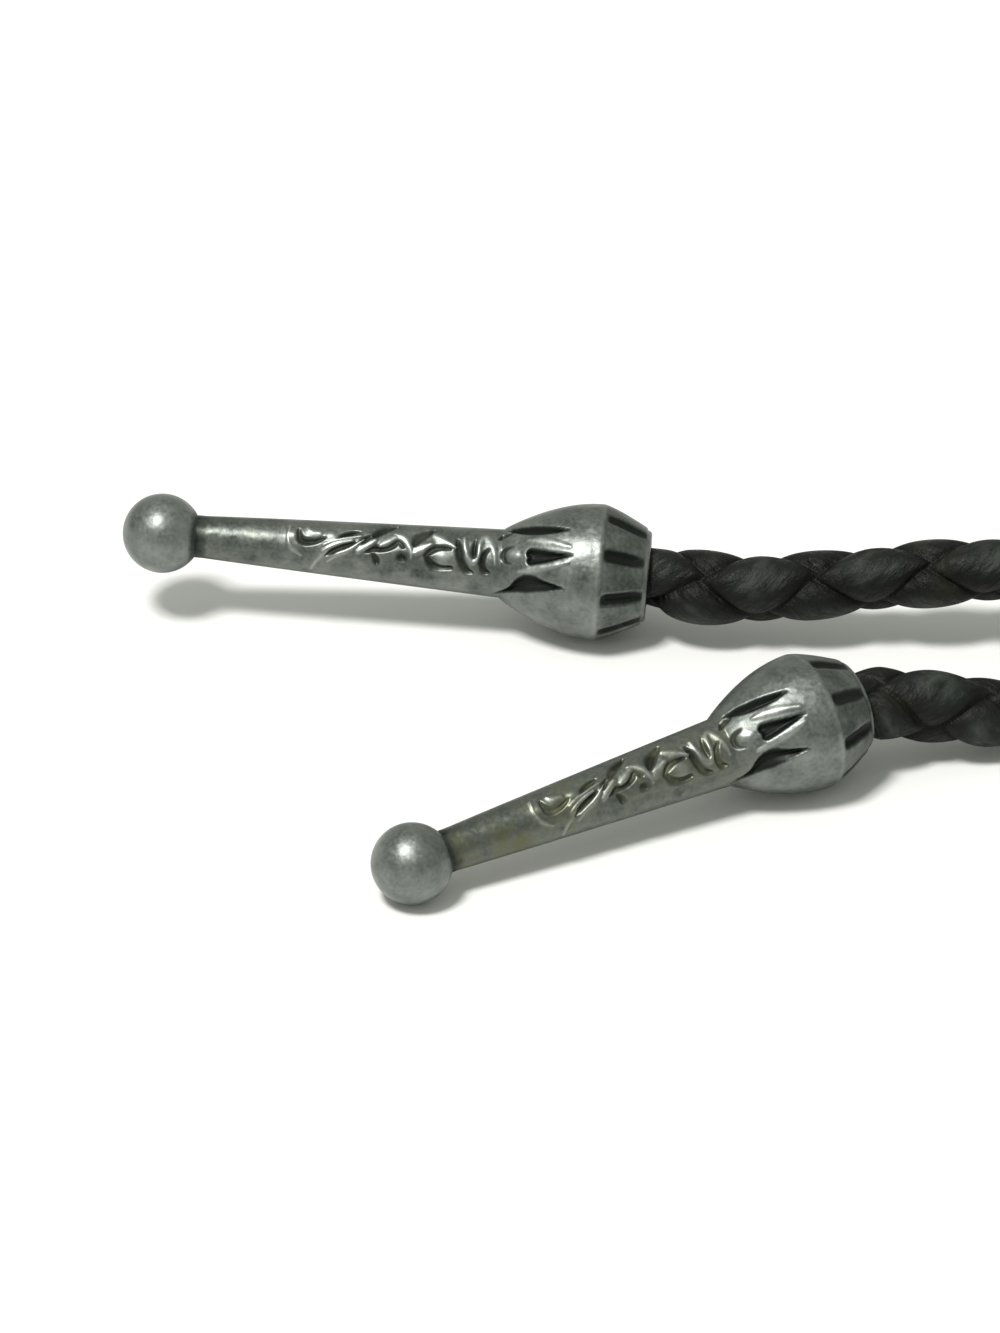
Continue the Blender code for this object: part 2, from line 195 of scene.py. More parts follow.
class NodeBench:
    """A material's node tree, with short ways to add and join nodes."""

    def __init__(self, name: str) -> None:
        """Start an empty material with an output and a shader.

        Args:
            name: The material's name.
        """
        self.material = bpy.data.materials.new(name)
        self.material.use_nodes = True
        self.tree = self.material.node_tree
        self.tree.nodes.clear()
        self.shader = self.add("ShaderNodeBsdfPrincipled")
        output = self.add("ShaderNodeOutputMaterial")
        self.join(self.shader.outputs[0], output.inputs[0])

    def add(self, kind: str, **settings: object) -> bpy.types.Node:
        """Add a node.

        Args:
            kind: Blender's name for the node.
            **settings: The node's own settings.

        Returns:
            The new node.
        """
        node = self.tree.nodes.new(kind)
        for key, value in settings.items():
            setattr(node, key, value)
        return node

    def join(self, source: Socket, target: Socket) -> None:
        """Link an output to an input."""
        self.tree.links.new(source, target)

    def object_place(self) -> Socket:
        """Return the piece's Object coordinates."""
        return self.add("ShaderNodeTexCoord").outputs["Object"]

    def layer(self, name: str) -> Socket:
        """Return a painted layer's number."""
        return self.add("ShaderNodeAttribute", attribute_name=name).outputs["Fac"]

    def noise(self, place: Socket, scale: float, detail: float = 3.0, roughness: float = 0.55) -> Socket:
        """Add noise.

        Args:
            place: The coordinates that it reads.
            scale: Its scale, in features for each unit of those coordinates.
            detail: How many finer layers it has.
            roughness: How strong the finer layers are.

        Returns:
            The noise, from 0 to 1.
        """
        node = self.add("ShaderNodeTexNoise")
        node.inputs["Scale"].default_value = scale
        node.inputs["Detail"].default_value = detail
        node.inputs["Roughness"].default_value = roughness
        self.join(place, node.inputs["Vector"])
        return node.outputs["Fac"]

    def math(self, operation: str, first: Socket | float, second: Socket | float) -> Socket:
        """Add a sum of two numbers or sockets.

        Args:
            operation: Blender's name for the sum.
            first: A socket or a number.
            second: A socket or a number.

        Returns:
            The result.
        """
        node = self.add("ShaderNodeMath", operation=operation)
        for slot, value in enumerate((first, second)):
            if isinstance(value, (int, float)):
                node.inputs[slot].default_value = value
            else:
                self.join(value, node.inputs[slot])
        return node.outputs[0]

    def ramp(self, value: Socket, places: tuple, colours: tuple) -> Socket:
        """Turn a number into a colour.

        Args:
            value: The number, from 0 to 1.
            places: Rising places along the ramp.
            colours: The linear colour at each.

        Returns:
            The colour.
        """
        node = self.add("ShaderNodeValToRGB")
        elements = node.color_ramp.elements
        while len(elements) < len(places):
            elements.new(0.5)
        for element, place, colour in zip(elements, places, colours):
            element.position = place
            element.color = (*colour, 1.0)
        self.join(value, node.inputs[0])
        return node.outputs[0]

    def spread(self, value: Socket, low: float, high: float, start: float, stop: float) -> Socket:
        """Map a number from one range to another.

        Args:
            value: The number.
            low: The result at the start.
            high: The result at the stop.
            start: Where the range starts.
            stop: Where it stops.

        Returns:
            The mapped number.
        """
        node = self.add("ShaderNodeMapRange")
        for key, number in (("From Min", start), ("From Max", stop), ("To Min", low), ("To Max", high)):
            node.inputs[key].default_value = number
        self.join(value, node.inputs["Value"])
        return node.outputs[0]

    def blend(self, share: Socket, first: Socket, colour: tuple) -> Socket:
        """Blend a colour socket towards one colour.

        Args:
            share: How far the blend goes.
            first: The colour that it starts from.
            colour: The linear colour that it goes to.

        Returns:
            The blended colour.
        """
        node = self.add("ShaderNodeMix", data_type="RGBA")
        self.join(share, node.inputs[0])
        self.join(first, node.inputs[6])
        node.inputs[7].default_value = (*colour, 1.0)
        return node.outputs[2]

    def bump(self, height: Socket, distance: float, strength: float, under: Socket | None = None) -> Socket:
        """Add a bump.

        Args:
            height: The height, from 0 to 1.
            distance: What a height of 1 stands for.
            strength: How strongly it shows.
            under: The normal of a bump that lies under this one.

        Returns:
            The bumped normal.
        """
        node = self.add("ShaderNodeBump")
        node.inputs["Strength"].default_value = strength
        node.inputs["Distance"].default_value = distance
        self.join(height, node.inputs["Height"])
        if under:
            self.join(under, node.inputs["Normal"])
        return node.outputs[0]


@dataclass(frozen=True)
class PewterFinish:
    """Antiqued cast pewter: dark in its recesses, satin on its faces and brighter where it is worn."""

    name: str = "antiqued_pewter"
    recess: tuple = (0.006, 0.0078, 0.006)
    shade: tuple = (0.052, 0.060, 0.054)
    body: tuple = (0.162, 0.176, 0.165)
    crest: tuple = (0.44, 0.46, 0.44)
    tones: tuple = (0.12, 0.33, 0.5, 0.95)
    tarnish: tuple = (0.118, 0.122, 0.074)
    staining: tuple = (0.10, 0.95, 0.40, 0.62)
    metal: tuple = (0.0, 0.95, 0.10, 0.42)
    specular: float = 0.12
    smooth: float = 0.36
    rough: float = 0.48
    noise_span: tuple = (0.3, 0.7)
    cloud_scale: float = 420
    cloud_change: float = 0.09
    speck_scale: float = 2600
    speck_change: float = 0.045
    dents: tuple = (430, 2, 0.00034, 0.42)
    pits: tuple = (1300, 3, 0.00010, 0.26)
    grain: tuple = (5200, 2, 0.00003, 0.10)

    def build(self) -> Finish:
        """Return the finish. Dents, pits and grain are each a scale, a detail, a distance and a strength."""
        bench = NodeBench(self.name)
        place = bench.object_place()
        cloud = bench.noise(place, self.cloud_scale, 4)
        speck = bench.noise(place, self.speck_scale, 3)
        clouding = bench.spread(cloud, -self.cloud_change, self.cloud_change, *self.noise_span)
        # The layer holds antique darkening and wear, a painted contact shadow at a tip's neck and a highlight
        # along its collar's ridge that is partly wear and partly painted.
        wear = bench.math("ADD", bench.layer("patina_and_shading"), clouding)
        specking = bench.spread(speck, -self.speck_change, self.speck_change, *self.noise_span)
        wear = bench.math("ADD", wear, specking)
        colour = bench.ramp(wear, self.tones, (self.recess, self.shade, self.body, self.crest))
        stain = bench.math("MULTIPLY", bench.layer("tarnish"), bench.spread(cloud, *self.staining))
        colour = bench.blend(stain, colour, self.tarnish)
        bench.join(colour, bench.shader.inputs["Base Color"])
        bench.join(bench.spread(wear, *self.metal), bench.shader.inputs["Metallic"])
        bench.shader.inputs["Specular IOR Level"].default_value = self.specular
        roughness = bench.spread(speck, self.smooth, self.rough, *self.noise_span)
        bench.join(roughness, bench.shader.inputs["Roughness"])
        normal = None
        for scale, detail, distance, strength in (self.dents, self.pits, self.grain):
            normal = bench.bump(bench.noise(place, scale, detail), distance, strength, normal)
        bench.join(normal, bench.shader.inputs["Normal"])
        return bench.material


@dataclass(frozen=True)
class LeatherFinish:
    """Black lace leather: soft wrinkles along each strand, a fine grain, painted shade that darkens each
    strand down its flanks into the creases, and paler crowns that are partly worn and partly a painted sheen.
    """

    name: str = "black_lace_leather"
    # The crease and hollow colours are painted shade, for the dark creases between the crowns.
    crease: tuple = (0.0004, 0.0006, 0.0004)
    hollow: tuple = (0.0016, 0.0020, 0.0016)
    face: tuple = (0.0046, 0.0066, 0.0052)
    # The brightest colour is partly wear and partly a painted sheen on the crowns.
    rubbed_and_sheen: tuple = (0.0330, 0.0385, 0.0330)
    tones: tuple = (0.0, 0.18, 0.42, 0.95)
    crown_tone: float = 0.42
    rub_and_sheen_tone: float = 0.5
    rub_and_sheen_spread: tuple = (0.0, 1.0, 0.44, 0.66)
    warm: tuple = (0.0165, 0.0160, 0.0080)
    warming: tuple = (0.0, 0.6, 0.56, 0.74)
    sheen: tuple = (0.66, 0.46, 0.3, 0.7)
    specular: float = 0.21
    strand_stretch: tuple = (0.55, 1.25, 1.0)
    fold_scale: float = 3.4
    fold_bump: tuple = (0.0011, 0.6)
    fine_scale: float = 15
    fine_bump: tuple = (0.00016, 0.5)
    pore_scale: float = 24
    pore_edge: tuple = (0.0, 1.0, 0.0, 0.14)
    pore_bump: tuple = (0.00004, 0.35)
    cloud_scale: float = 230

    def build(self) -> Finish:
        """Return the finish as a material."""
        bench = NodeBench(self.name)
        flat = bench.add("ShaderNodeTexCoord").outputs["UV"]
        along = bench.add("ShaderNodeMapping")
        along.inputs["Scale"].default_value = self.strand_stretch
        bench.join(flat, along.inputs["Vector"])
        folds = bench.noise(along.outputs[0], self.fold_scale, 4)
        fine = bench.noise(along.outputs[0], self.fine_scale, 3, 0.5)
        grain = bench.add("ShaderNodeTexVoronoi", feature="DISTANCE_TO_EDGE")
        grain.inputs["Scale"].default_value = self.pore_scale
        bench.join(flat, grain.inputs["Vector"])
        cloud = bench.noise(bench.object_place(), self.cloud_scale, 3)
        # The crown layer paints shade: 0 in the creases, rising to 1 on the crowns.
        crown = bench.layer("crown")
        # The crowns' brightening is partly wear and partly a painted sheen.
        rub_and_sheen = bench.math("MULTIPLY", crown, bench.spread(folds, *self.rub_and_sheen_spread))
        rubbed_and_sheen = bench.math("MULTIPLY", rub_and_sheen, self.rub_and_sheen_tone)
        tone = bench.math("ADD", bench.math("MULTIPLY", crown, self.crown_tone), rubbed_and_sheen)
        colour = bench.ramp(tone, self.tones, (self.crease, self.hollow, self.face, self.rubbed_and_sheen))
        colour = bench.blend(bench.spread(cloud, *self.warming), colour, self.warm)
        bench.join(colour, bench.shader.inputs["Base Color"])
        bench.join(bench.spread(fine, *self.sheen), bench.shader.inputs["Roughness"])
        bench.shader.inputs["Specular IOR Level"].default_value = self.specular
        pores = bench.spread(grain.outputs["Distance"], *self.pore_edge)
        normal = bench.bump(folds, *self.fold_bump)
        normal = bench.bump(fine, *self.fine_bump, normal)
        normal = bench.bump(pores, *self.pore_bump, normal)
        bench.join(normal, bench.shader.inputs["Normal"])
        return bench.material


@dataclass(frozen=True)
class PaperFinish:
    """The white sheet that the tie lies on."""

    name: str = "white_sheet"
    colour: tuple = (0.74, 0.74, 0.735)
    brighter: tuple = (0.76, 0.76, 0.755)

    def build(self) -> Finish:
        """Return the finish as a material."""
        bench = NodeBench(self.name)
        cloud = bench.noise(bench.object_place(), 6, 2)
        tint = bench.ramp(cloud, (0.3, 0.7), (self.colour, self.brighter))
        bench.join(tint, bench.shader.inputs["Base Color"])
        bench.shader.inputs["Roughness"].default_value = 0.75
        bench.shader.inputs["Specular IOR Level"].default_value = 0.2
        return bench.material


@dataclass(frozen=True)
class Stroke:
    """One stroke: points in mm past the ball's middle, in mm across, and half its width in mm."""

    way: Relief
    points: tuple
    depth: float


RAISED_STROKES = (
    ((11.98, 0.92, 0.34), (12.02, 0.90, 0.34)),
    ((11.7, 1.7, 0.10), (11.62, 0.65, 0.13), (11.97, -0.25, 0.15), (12.9, -0.85, 0.12)),
    ((13.3, 1.62, 0.12), (13.75, 1.32, 0.26), (14.5, 1.28, 0.20)),
    ((15.5, 1.12, 0.34), (15.54, 1.13, 0.34)),
    ((14.9, 0.25, 0.10), (15.8, 0.68, 0.15), (16.9, 1.0, 0.14), (18.3, 1.32, 0.08)),
    ((14.8, -0.40, 0.08), (15.5, 0.10, 0.15), (16.3, 0.50, 0.14), (17.5, 0.86, 0.10)),
    ((13.9, -2.0, 0.10), (14.4, -1.2, 0.18), (14.9, -0.60, 0.16), (15.3, -0.25, 0.08)),
    ((15.4, -1.2, 0.10), (16.2, -0.55, 0.18), (17.1, -0.15, 0.18), (18.0, 0.55, 0.12), (18.6, 1.05, 0.06)),
    ((18.1, -0.15, 0.16), (18.8, 0.42, 0.26), (19.6, 1.05, 0.16)),
    ((20.1, 0.62, 0.16), (20.7, 1.0, 0.28), (21.4, 1.5, 0.22)),
    ((21.4, 1.75, 0.14), (22.2, 1.52, 0.24), (22.65, 0.95, 0.20), (22.95, 0.30, 0.16), (23.0, -0.20, 0.10)),
    ((23.3, 0.20, 0.16), (23.8, 0.60, 0.32), (24.7, 1.15, 0.18)),
    ((24.9, 2.0, 0.14), (25.6, 1.75, 0.24), (26.3, 1.42, 0.20), (27.0, 1.05, 0.12)),
    ((25.9, 0.02, 0.50), (25.96, 0.0, 0.50)),
    ((27.7, 2.0, 0.12), (27.9, 1.0, 0.18), (28.2, 0.2, 0.20), (28.7, -0.20, 0.20), (29.1, 0.35, 0.16),
     (29.15, 1.2, 0.16), (29.3, 1.95, 0.20), (29.7, 2.2, 0.24), (30.2, 1.7, 0.24), (30.55, 0.85, 0.18),
     (30.7, -0.1, 0.10)),
    ((32.2, 0.92, 0.34), (32.5, 0.80, 0.26)),
    ((33.5, 2.25, 0.10), (34.6, 2.35, 0.26), (36.0, 2.25, 0.22), (37.5, 2.0, 0.10)),
    ((32.9, -0.62, 0.10), (34.4, -0.30, 0.24), (36.0, 0.12, 0.22), (37.4, 0.62, 0.10)),
)

DIMPLES = (
    (19.5, -1.72, 0.55), (21.1, -1.80, 0.75), (22.3, -1.20, 0.50), (23.6, -1.62, 0.60), (25.2, -1.95, 0.50),
    (27.0, -1.95, 0.65), (28.9, -2.15, 0.60), (14.2, -1.45, 0.50), (17.3, -1.55, 0.60),
)

SUNK_STROKES = (
    ((12.55, 1.5, 0.10), (12.62, 0.85, 0.30), (13.1, 0.42, 0.34), (14.1, 0.50, 0.26), (15.0, 0.90, 0.12)),
    ((16.05, 0.78, 0.08), (16.7, 1.22, 0.24), (17.4, 1.52, 0.24), (18.1, 1.68, 0.12)),
    ((15.2, -0.72, 0.10), (15.9, -0.22, 0.26), (16.8, 0.28, 0.24), (17.7, 0.66, 0.12)),
    ((18.2, 0.62, 0.12), (18.6, 0.98, 0.26), (19.1, 1.42, 0.14)),
    ((19.3, 1.3, 0.12), (19.8, 1.78, 0.34), (20.6, 2.2, 0.36), (21.5, 2.48, 0.16)),
    ((18.8, -0.05, 0.14), (19.6, 0.30, 0.30), (20.6, 0.38, 0.24), (21.3, 0.80, 0.28), (21.7, 1.18, 0.16),
     (22.2, 0.70, 0.16)),
    ((19.5, -0.25, 0.16), (19.85, -0.75, 0.30), (19.9, -1.15, 0.12)),
    ((22.1, -0.32, 0.40), (22.2, -0.34, 0.40)),
    ((23.2, 1.0, 0.20), (23.5, 1.6, 0.46), (24.1, 2.05, 0.42), (24.9, 2.45, 0.18)),
    ((24.3, 0.1, 0.20), (24.75, 0.62, 0.34), (25.5, 0.88, 0.26), (26.5, 0.92, 0.16)),
    ((24.35, 0.0, 0.20), (24.85, -0.62, 0.34), (25.6, -0.90, 0.30), (26.7, -0.85, 0.20)),
    ((27.1, 1.75, 0.12), (27.3, 0.8, 0.30), (27.6, -0.2, 0.32), (28.1, -0.9, 0.30), (28.7, -1.15, 0.14)),
    ((28.75, 1.85, 0.10), (28.7, 1.1, 0.22), (28.75, 0.3, 0.14)),
    ((30.0, 1.15, 0.12), (29.6, 0.55, 0.22), (29.5, -0.2, 0.26), (29.75, -0.85, 0.30), (30.2, -1.0, 0.14)),
    ((30.9, 2.15, 0.12), (31.5, 2.6, 0.26), (32.2, 2.95, 0.12)),
    ((32.2, 1.6, 0.10), (31.6, 1.3, 0.18), (31.4, 0.75, 0.18), (31.6, 0.2, 0.16), (32.1, 0.0, 0.08)),
)

DART_STROKES = (
    ((31.9, 3.10, 0.16), (33.2, 3.22, 0.42), (35.2, 3.40, 0.38), (37.3, 3.62, 0.06)),
    ((33.95, 1.14, 0.36), (35.0, 1.08, 0.36), (36.4, 1.14, 0.22), (37.8, 1.30, 0.05)),
    ((34.25, 0.86, 0.50), (35.2, 0.95, 0.42), (36.5, 1.10, 0.24), (37.8, 1.30, 0.05)),
    ((34.05, 0.48, 0.36), (35.0, 0.72, 0.36), (36.4, 1.02, 0.20), (37.8, 1.30, 0.05)),
    ((30.7, -2.85, 0.05), (32.3, -2.36, 0.26), (33.6, -1.72, 0.68), (35.2, -1.80, 0.42), (37.3, -1.88, 0.05)),
)


@dataclass
class Artwork:
    """The scroll band and the darts, as strokes that wrap round a tip's stem and flare."""

    face_turn: float = math.radians(-19)
    ridge_height: float = 0.11 * MM
    pit_depth: float = 0.33 * MM
    dart_depth: float = 0.60 * MM
    dimple_depth: float = 0.12 * MM
    wash: float = 0.66
    raised_fullness: float = 2.3
    sunk_fullness: float = 1.60
    full_depth_half_width: float = 0.34 * MM
    repeats: int = 2
    stroke_pieces: int = 5
    farthest_across: float = 0.98
    margin: float = 0.05 * MM
    turn_margin: float = 0.1
    wash_span: tuple = (0.05, 0.75)
    cover_gain: float = 1.05

    def strokes(self) -> list[Stroke]:
        """Return every stroke of the face."""
        raised = [Stroke(Relief.RAISED, points, self.ridge_height) for points in RAISED_STROKES]
        sunk = [Stroke(Relief.SUNK, points, self.pit_depth) for points in SUNK_STROKES]
        sunk += [Stroke(Relief.SUNK, self.dimple(*dimple), self.dimple_depth) for dimple in DIMPLES]
        darts = [Stroke(Relief.SUNK, points, self.dart_depth) for points in DART_STROKES]
        return [*raised, *sunk, *darts]

    def dimple(self, past_ball: float, across: float, radius: float) -> tuple:
        """Draw one of the soft shallow dimples under the scroll.

        Args:
            past_ball: Its middle, in mm past the ball's middle.
            across: Its middle, in mm across.
            radius: Its radius in mm.

        Returns:
            The dimple as a very short stroke.
        """
        along, drop = radius * 0.2, radius * 0.1
        return ((past_ball - along, across - drop, radius), (past_ball + along, across, radius))

    def stroke_share(self, along: Array, across: Array, marks: Array) -> tuple[Array, Array]:
        """Tell how deep in a stroke each point lies.

        Args:
            along: The points' places along the stem.
            across: Their places round it, as arc lengths.
            marks: The stroke's points, with half its width at each.

        Returns:
            1 on the stroke's middle, falling to 0 at its edge, and the share of full depth for its width.
        """
        best = np.zeros_like(along)
        allowed = np.ones_like(along)
        for first, last in zip(marks, marks[1:]):
            run = last[:2] - first[:2]
            size = max(float(run @ run), 1e-12)
            share = np.clip(((along - first[0]) * run[0] + (across - first[1]) * run[1]) / size, 0, 1)
            gap = np.hypot(along - first[0] - share * run[0], across - first[1] - share * run[1])
            half = first[2] + (last[2] - first[2]) * share
            deeper = 1 - gap / half > best
            best = np.where(deeper, 1 - gap / half, best)
            allowed = np.where(deeper, np.minimum(1.0, half / self.full_depth_half_width), allowed)
        return best, allowed

    def relief(self, tip: "WesternTip", heights: Array, turns: Array) -> tuple[Array, ...]:
        """Work out how far the artwork raises or sinks the casting.

        Args:
            tip: The tip that carries it.
            heights: The vertices' heights from the rim.
            turns: Their turns round the tip from its front.

        Returns:
            The rise, which is negative where the artwork is sunk, the dark wash and the wear.
        """
        pits = np.zeros_like(heights)
        grime = np.zeros_like(heights)
        ridges = np.zeros_like(heights)
        radii = tip.radius(heights)
        limit = self.farthest_across
        for stroke in self.strokes():
            marks = np.array(stroke.points) * MM
            if len(marks) > 2:
                marks = curve_through(marks, self.stroke_pieces)
            marks[:, 2] *= self.raised_fullness if stroke.way is Relief.RAISED else self.sunk_fullness
            stations = tip.ball_centre - marks[:, 0]
            arms = tip.radius(stations)
            swing = np.arcsin(np.clip(marks[:, 1] / arms, -limit, limit)) + self.face_turn
            for copy in range(self.repeats):
                offset = 2 * math.pi * copy / self.repeats
                turn = (turns - offset + math.pi) % (2 * math.pi) - math.pi
                reach = marks[:, 2].max() + self.margin
                near = (heights > stations.min() - reach) & (heights < stations.max() + reach)
                near &= np.abs(turn - swing.mean()) < (np.ptp(swing) + reach / arms.min() + self.turn_margin)
                if not near.any():
                    continue
                line = np.column_stack([stations, swing * arms, marks[:, 2]])
                share, allowed = self.stroke_share(heights[near], turn[near] * radii[near], line)
                if stroke.way is Relief.RAISED:
                    ridges[near] = np.maximum(ridges[near], ease(share, 0.0, 1.0) * stroke.depth)
                else:
                    wash = min(1.0, self.wash * (stroke.depth / self.pit_depth) ** 2) * allowed
                    pits[near] = np.maximum(pits[near], ease(share, 0.0, 1.0) * stroke.depth * allowed)
                    start, stop = self.wash_span
                    full = stop * min(1.0, self.pit_depth / stroke.depth)
                    grime[near] = np.maximum(grime[near], ease(share, start, full) * wash)
        cover = np.clip(ridges / self.ridge_height * self.cover_gain, 0, 1)
        return ridges - pits * (1 - cover), grime * (1 - cover), cover


@dataclass(frozen=True)
class PatinaAndShading:
    """How bright a casting is, from 0 in a recess to 1 on a worn edge, and what each place adds to that, with
    a painted contact shadow round the ball's neck and a highlight along the collar's ridge that is partly
    wear and partly painted.
    """

    plain: float = 0.50
    socket: float = 0.12
    scroll_face: float = -0.05
    worn_ridge: float = 0.25
    worn_power: float = 1.6
    ball: float = 0.05
    stem_foot: float = -0.05
    # A brighter line along the collar's ridge: partly edge wear, partly a painted highlight.
    collar_edge: float = 0.06
    collar_edge_width: float = 0.00022
    rear: float = -0.07
    # Painted contact shadow where the stem meets the ball.
    neck: float = -0.34
    slot_dulling: float = 0.72
    slot_reach: float = 0.4


@dataclass
class WesternTip:
    """A cast tip: ball, tapered stem with scrolls, flared collar with darts, slotted rear and cord socket."""

    lie: Lie
    rim: tuple
    azimuth: float
    ball_lift: float
    stem_tarnish: float
    length: float = 0.0484
    ball_diameter: float = 0.0073
    stem_ball_diameter: float = 0.0034
    stem_collar_diameter: float = 0.0063
    stem_swell: float = 0.85
    flare_length: float = 0.0090
    flare_fullness: float = 0.90
    ridge_diameter: float = 0.0125
    rear_length: float = 0.00455
    rear_fullness: float = 1.25
    rim_diameter: float = 0.0084
    rim_edge: float = 0.00035
    socket_diameter: float = 0.0066
    socket_depth: float = 0.0090
    slot_count: int = 9
    slot_turn: float = math.radians(-4.5)
    slot_width: float = 0.0010
    slot_depth: float = 0.00045
    slot_start: float = 0.0002
    front_turn: float = math.radians(38)
    sides: int = 256
    scroll_end: float = 0.0335
    artwork_end: float = 0.0408
    zone_steps: tuple = (26, 84, 180, 20)
    edge_steps: int = 4
    ball_steps: int = 30
    socket_rings: tuple = (0.6, 0.3, 0.08)
    neck_height: float = 0.0412
    neck_shadow: tuple = (0.0414, 0.0006, 0.0026)
    ball_foot: tuple = (0.0414, 0.0425)
    stem_foot: tuple = (0.0330, 0.0345)
    scroll_zone: tuple = ((0.0118, 0.0135), (0.0325, 0.0338))
    plain_stem_zone: tuple = ((0.0275, 0.0345), (0.0405, 0.0418))
    stained_scroll_zone: tuple = ((0.0115, 0.0150), (0.0275, 0.0345))
    scroll_stain: float = 0.60
    slot_end: float = 0.0007
    slot_wall: tuple = (0.10, 0.80)
    slot_shallowing: float = 0.75
    slot_shallow_span: tuple = (0.55, 0.95)
    skin: float = 0.97
    patina_and_shading: PatinaAndShading = PatinaAndShading()

    @property
    def ball_centre(self) -> float:
        """Return the height of the ball's middle."""
        return self.length - self.ball_diameter / 2

    @property
    def flare_start(self) -> float:
        """Return the height at which the flare leaves the stem."""
        return self.rear_length + self.flare_length

    def node(self) -> str:
        """Return the name of the CAD node that the tip stands for."""
        return f"tip_{self.lie.value}"

    def radius(self, height: Array) -> Array:
        """Return the plain casting's radius.

        Args:
            height: Heights from the rim, below the ball.

        Returns:
            The radius at each height.
        """
        ball_end, collar_end = self.stem_ball_diameter / 2, self.stem_collar_diameter / 2
        ridge, rim = self.ridge_diameter / 2, self.rim_diameter / 2
        share = np.clip((self.ball_centre - height) / (self.ball_centre - self.flare_start), 0, 1)
        stem = ball_end + (collar_end - ball_end) * share ** self.stem_swell
        share = np.clip((height - self.rear_length) / self.flare_length, 0, 1)
        flare = collar_end + (ridge - collar_end) * np.cos(share * math.pi / 2) ** self.flare_fullness
        share = np.clip((self.rear_length - height) / self.rear_length, 0, 1)
        rear = ridge - (ridge - rim) * share ** self.rear_fullness
        return np.where(height > self.flare_start, stem, np.where(height > self.rear_length, flare, rear))

    def outline(self) -> list[tuple[float, float]]:
        """Return the outline as radius and height, from the socket's bottom round to the ball's end."""
        bore, rim, edge = self.socket_diameter / 2, self.rim_diameter / 2, self.rim_edge
        points = [(0.0, self.socket_depth), (bore * 0.5, self.socket_depth), (bore, self.socket_depth)]
        points += [(bore, self.socket_depth * share) for share in self.socket_rings]
        points += [(bore + 0.0001, 0.0), ((bore + rim - edge) / 2, 0.0)]
        for step in range(self.edge_steps + 1):
            angle = step * math.pi / (2 * self.edge_steps)
            points.append((rim - edge + edge * math.sin(angle), edge - edge * math.cos(angle)))
        borders = (edge, self.rear_length, self.flare_start, self.scroll_end, self.artwork_end)
        for start, stop, steps in zip(borders, borders[1:], self.zone_steps):
            stations = np.linspace(start, stop, steps + 1)[1:]
            points += [(float(self.radius(station)), float(station)) for station in stations]
        ball = self.ball_diameter / 2
        neck = float(self.radius(self.neck_height))
        first = math.asin(neck / ball)
        points.append((neck + 0.00002, self.ball_centre - ball * math.cos(first) - 0.00012))
        for step in range(self.ball_steps + 1):
            angle = first + (math.pi - first) * step / self.ball_steps
            points.append((ball * math.sin(angle), self.ball_centre - ball * math.cos(angle)))
        points[-1] = (0.0, self.length)
        return points

    def spin_casting(self) -> Piece:
        """Draw the outline by extruding one vertex, and spin it into the plain casting.

        Returns:
            The closed casting, standing on its rim at the origin.
        """
        deselect_all()
        bpy.ops.mesh.primitive_plane_add(size=self.rim_diameter)
        casting = bpy.context.object
        casting.name = f"western_tip_{self.lie.value}"
        bpy.ops.object.mode_set(mode="EDIT")
        bpy.ops.mesh.select_all(action="SELECT")
        bpy.ops.mesh.merge(type="CENTER")
        points = self.outline()
        bpy.ops.transform.translate(value=(points[0][0], 0, points[0][1]))
        for (radius, height), (next_radius, next_height) in zip(points, points[1:]):
            step = (next_radius - radius, 0, next_height - height)
            bpy.ops.mesh.extrude_region_move(TRANSFORM_OT_translate={"value": step})
        bpy.ops.mesh.select_all(action="SELECT")
        bpy.ops.mesh.spin(steps=self.sides, angle=2 * math.pi, center=(0, 0, 0), axis=(0, 0, 1))
        bpy.ops.mesh.select_all(action="SELECT")
        bpy.ops.mesh.remove_doubles(threshold=0.000002)
        bpy.ops.mesh.normals_make_consistent(inside=False)
        bpy.ops.object.mode_set(mode="OBJECT")
        return casting

    def slot_relief(self, heights: Array, turns: Array) -> Array:
        """Work out how far the rear cone's slots sink it.

        Args:
            heights: The vertices' heights from the rim.
            turns: Their turns round the tip from its front.

        Returns:
            The depth at each vertex.
        """
        pitch = 2 * math.pi / self.slot_count
        place = ((turns - self.slot_turn) / pitch + 0.5) % 1.0 - 0.5
        across = np.abs(place) * pitch * self.radius(heights)
        open_end = ease(self.rear_length - self.slot_start - heights, 0.0, self.slot_end)
        mouth = 1 - self.slot_shallowing * ease(1 - heights / self.rear_length, *self.slot_shallow_span)
        wall = 1 - ease(across / self.slot_width, *self.slot_wall)
        return wall * open_end * mouth * self.slot_depth

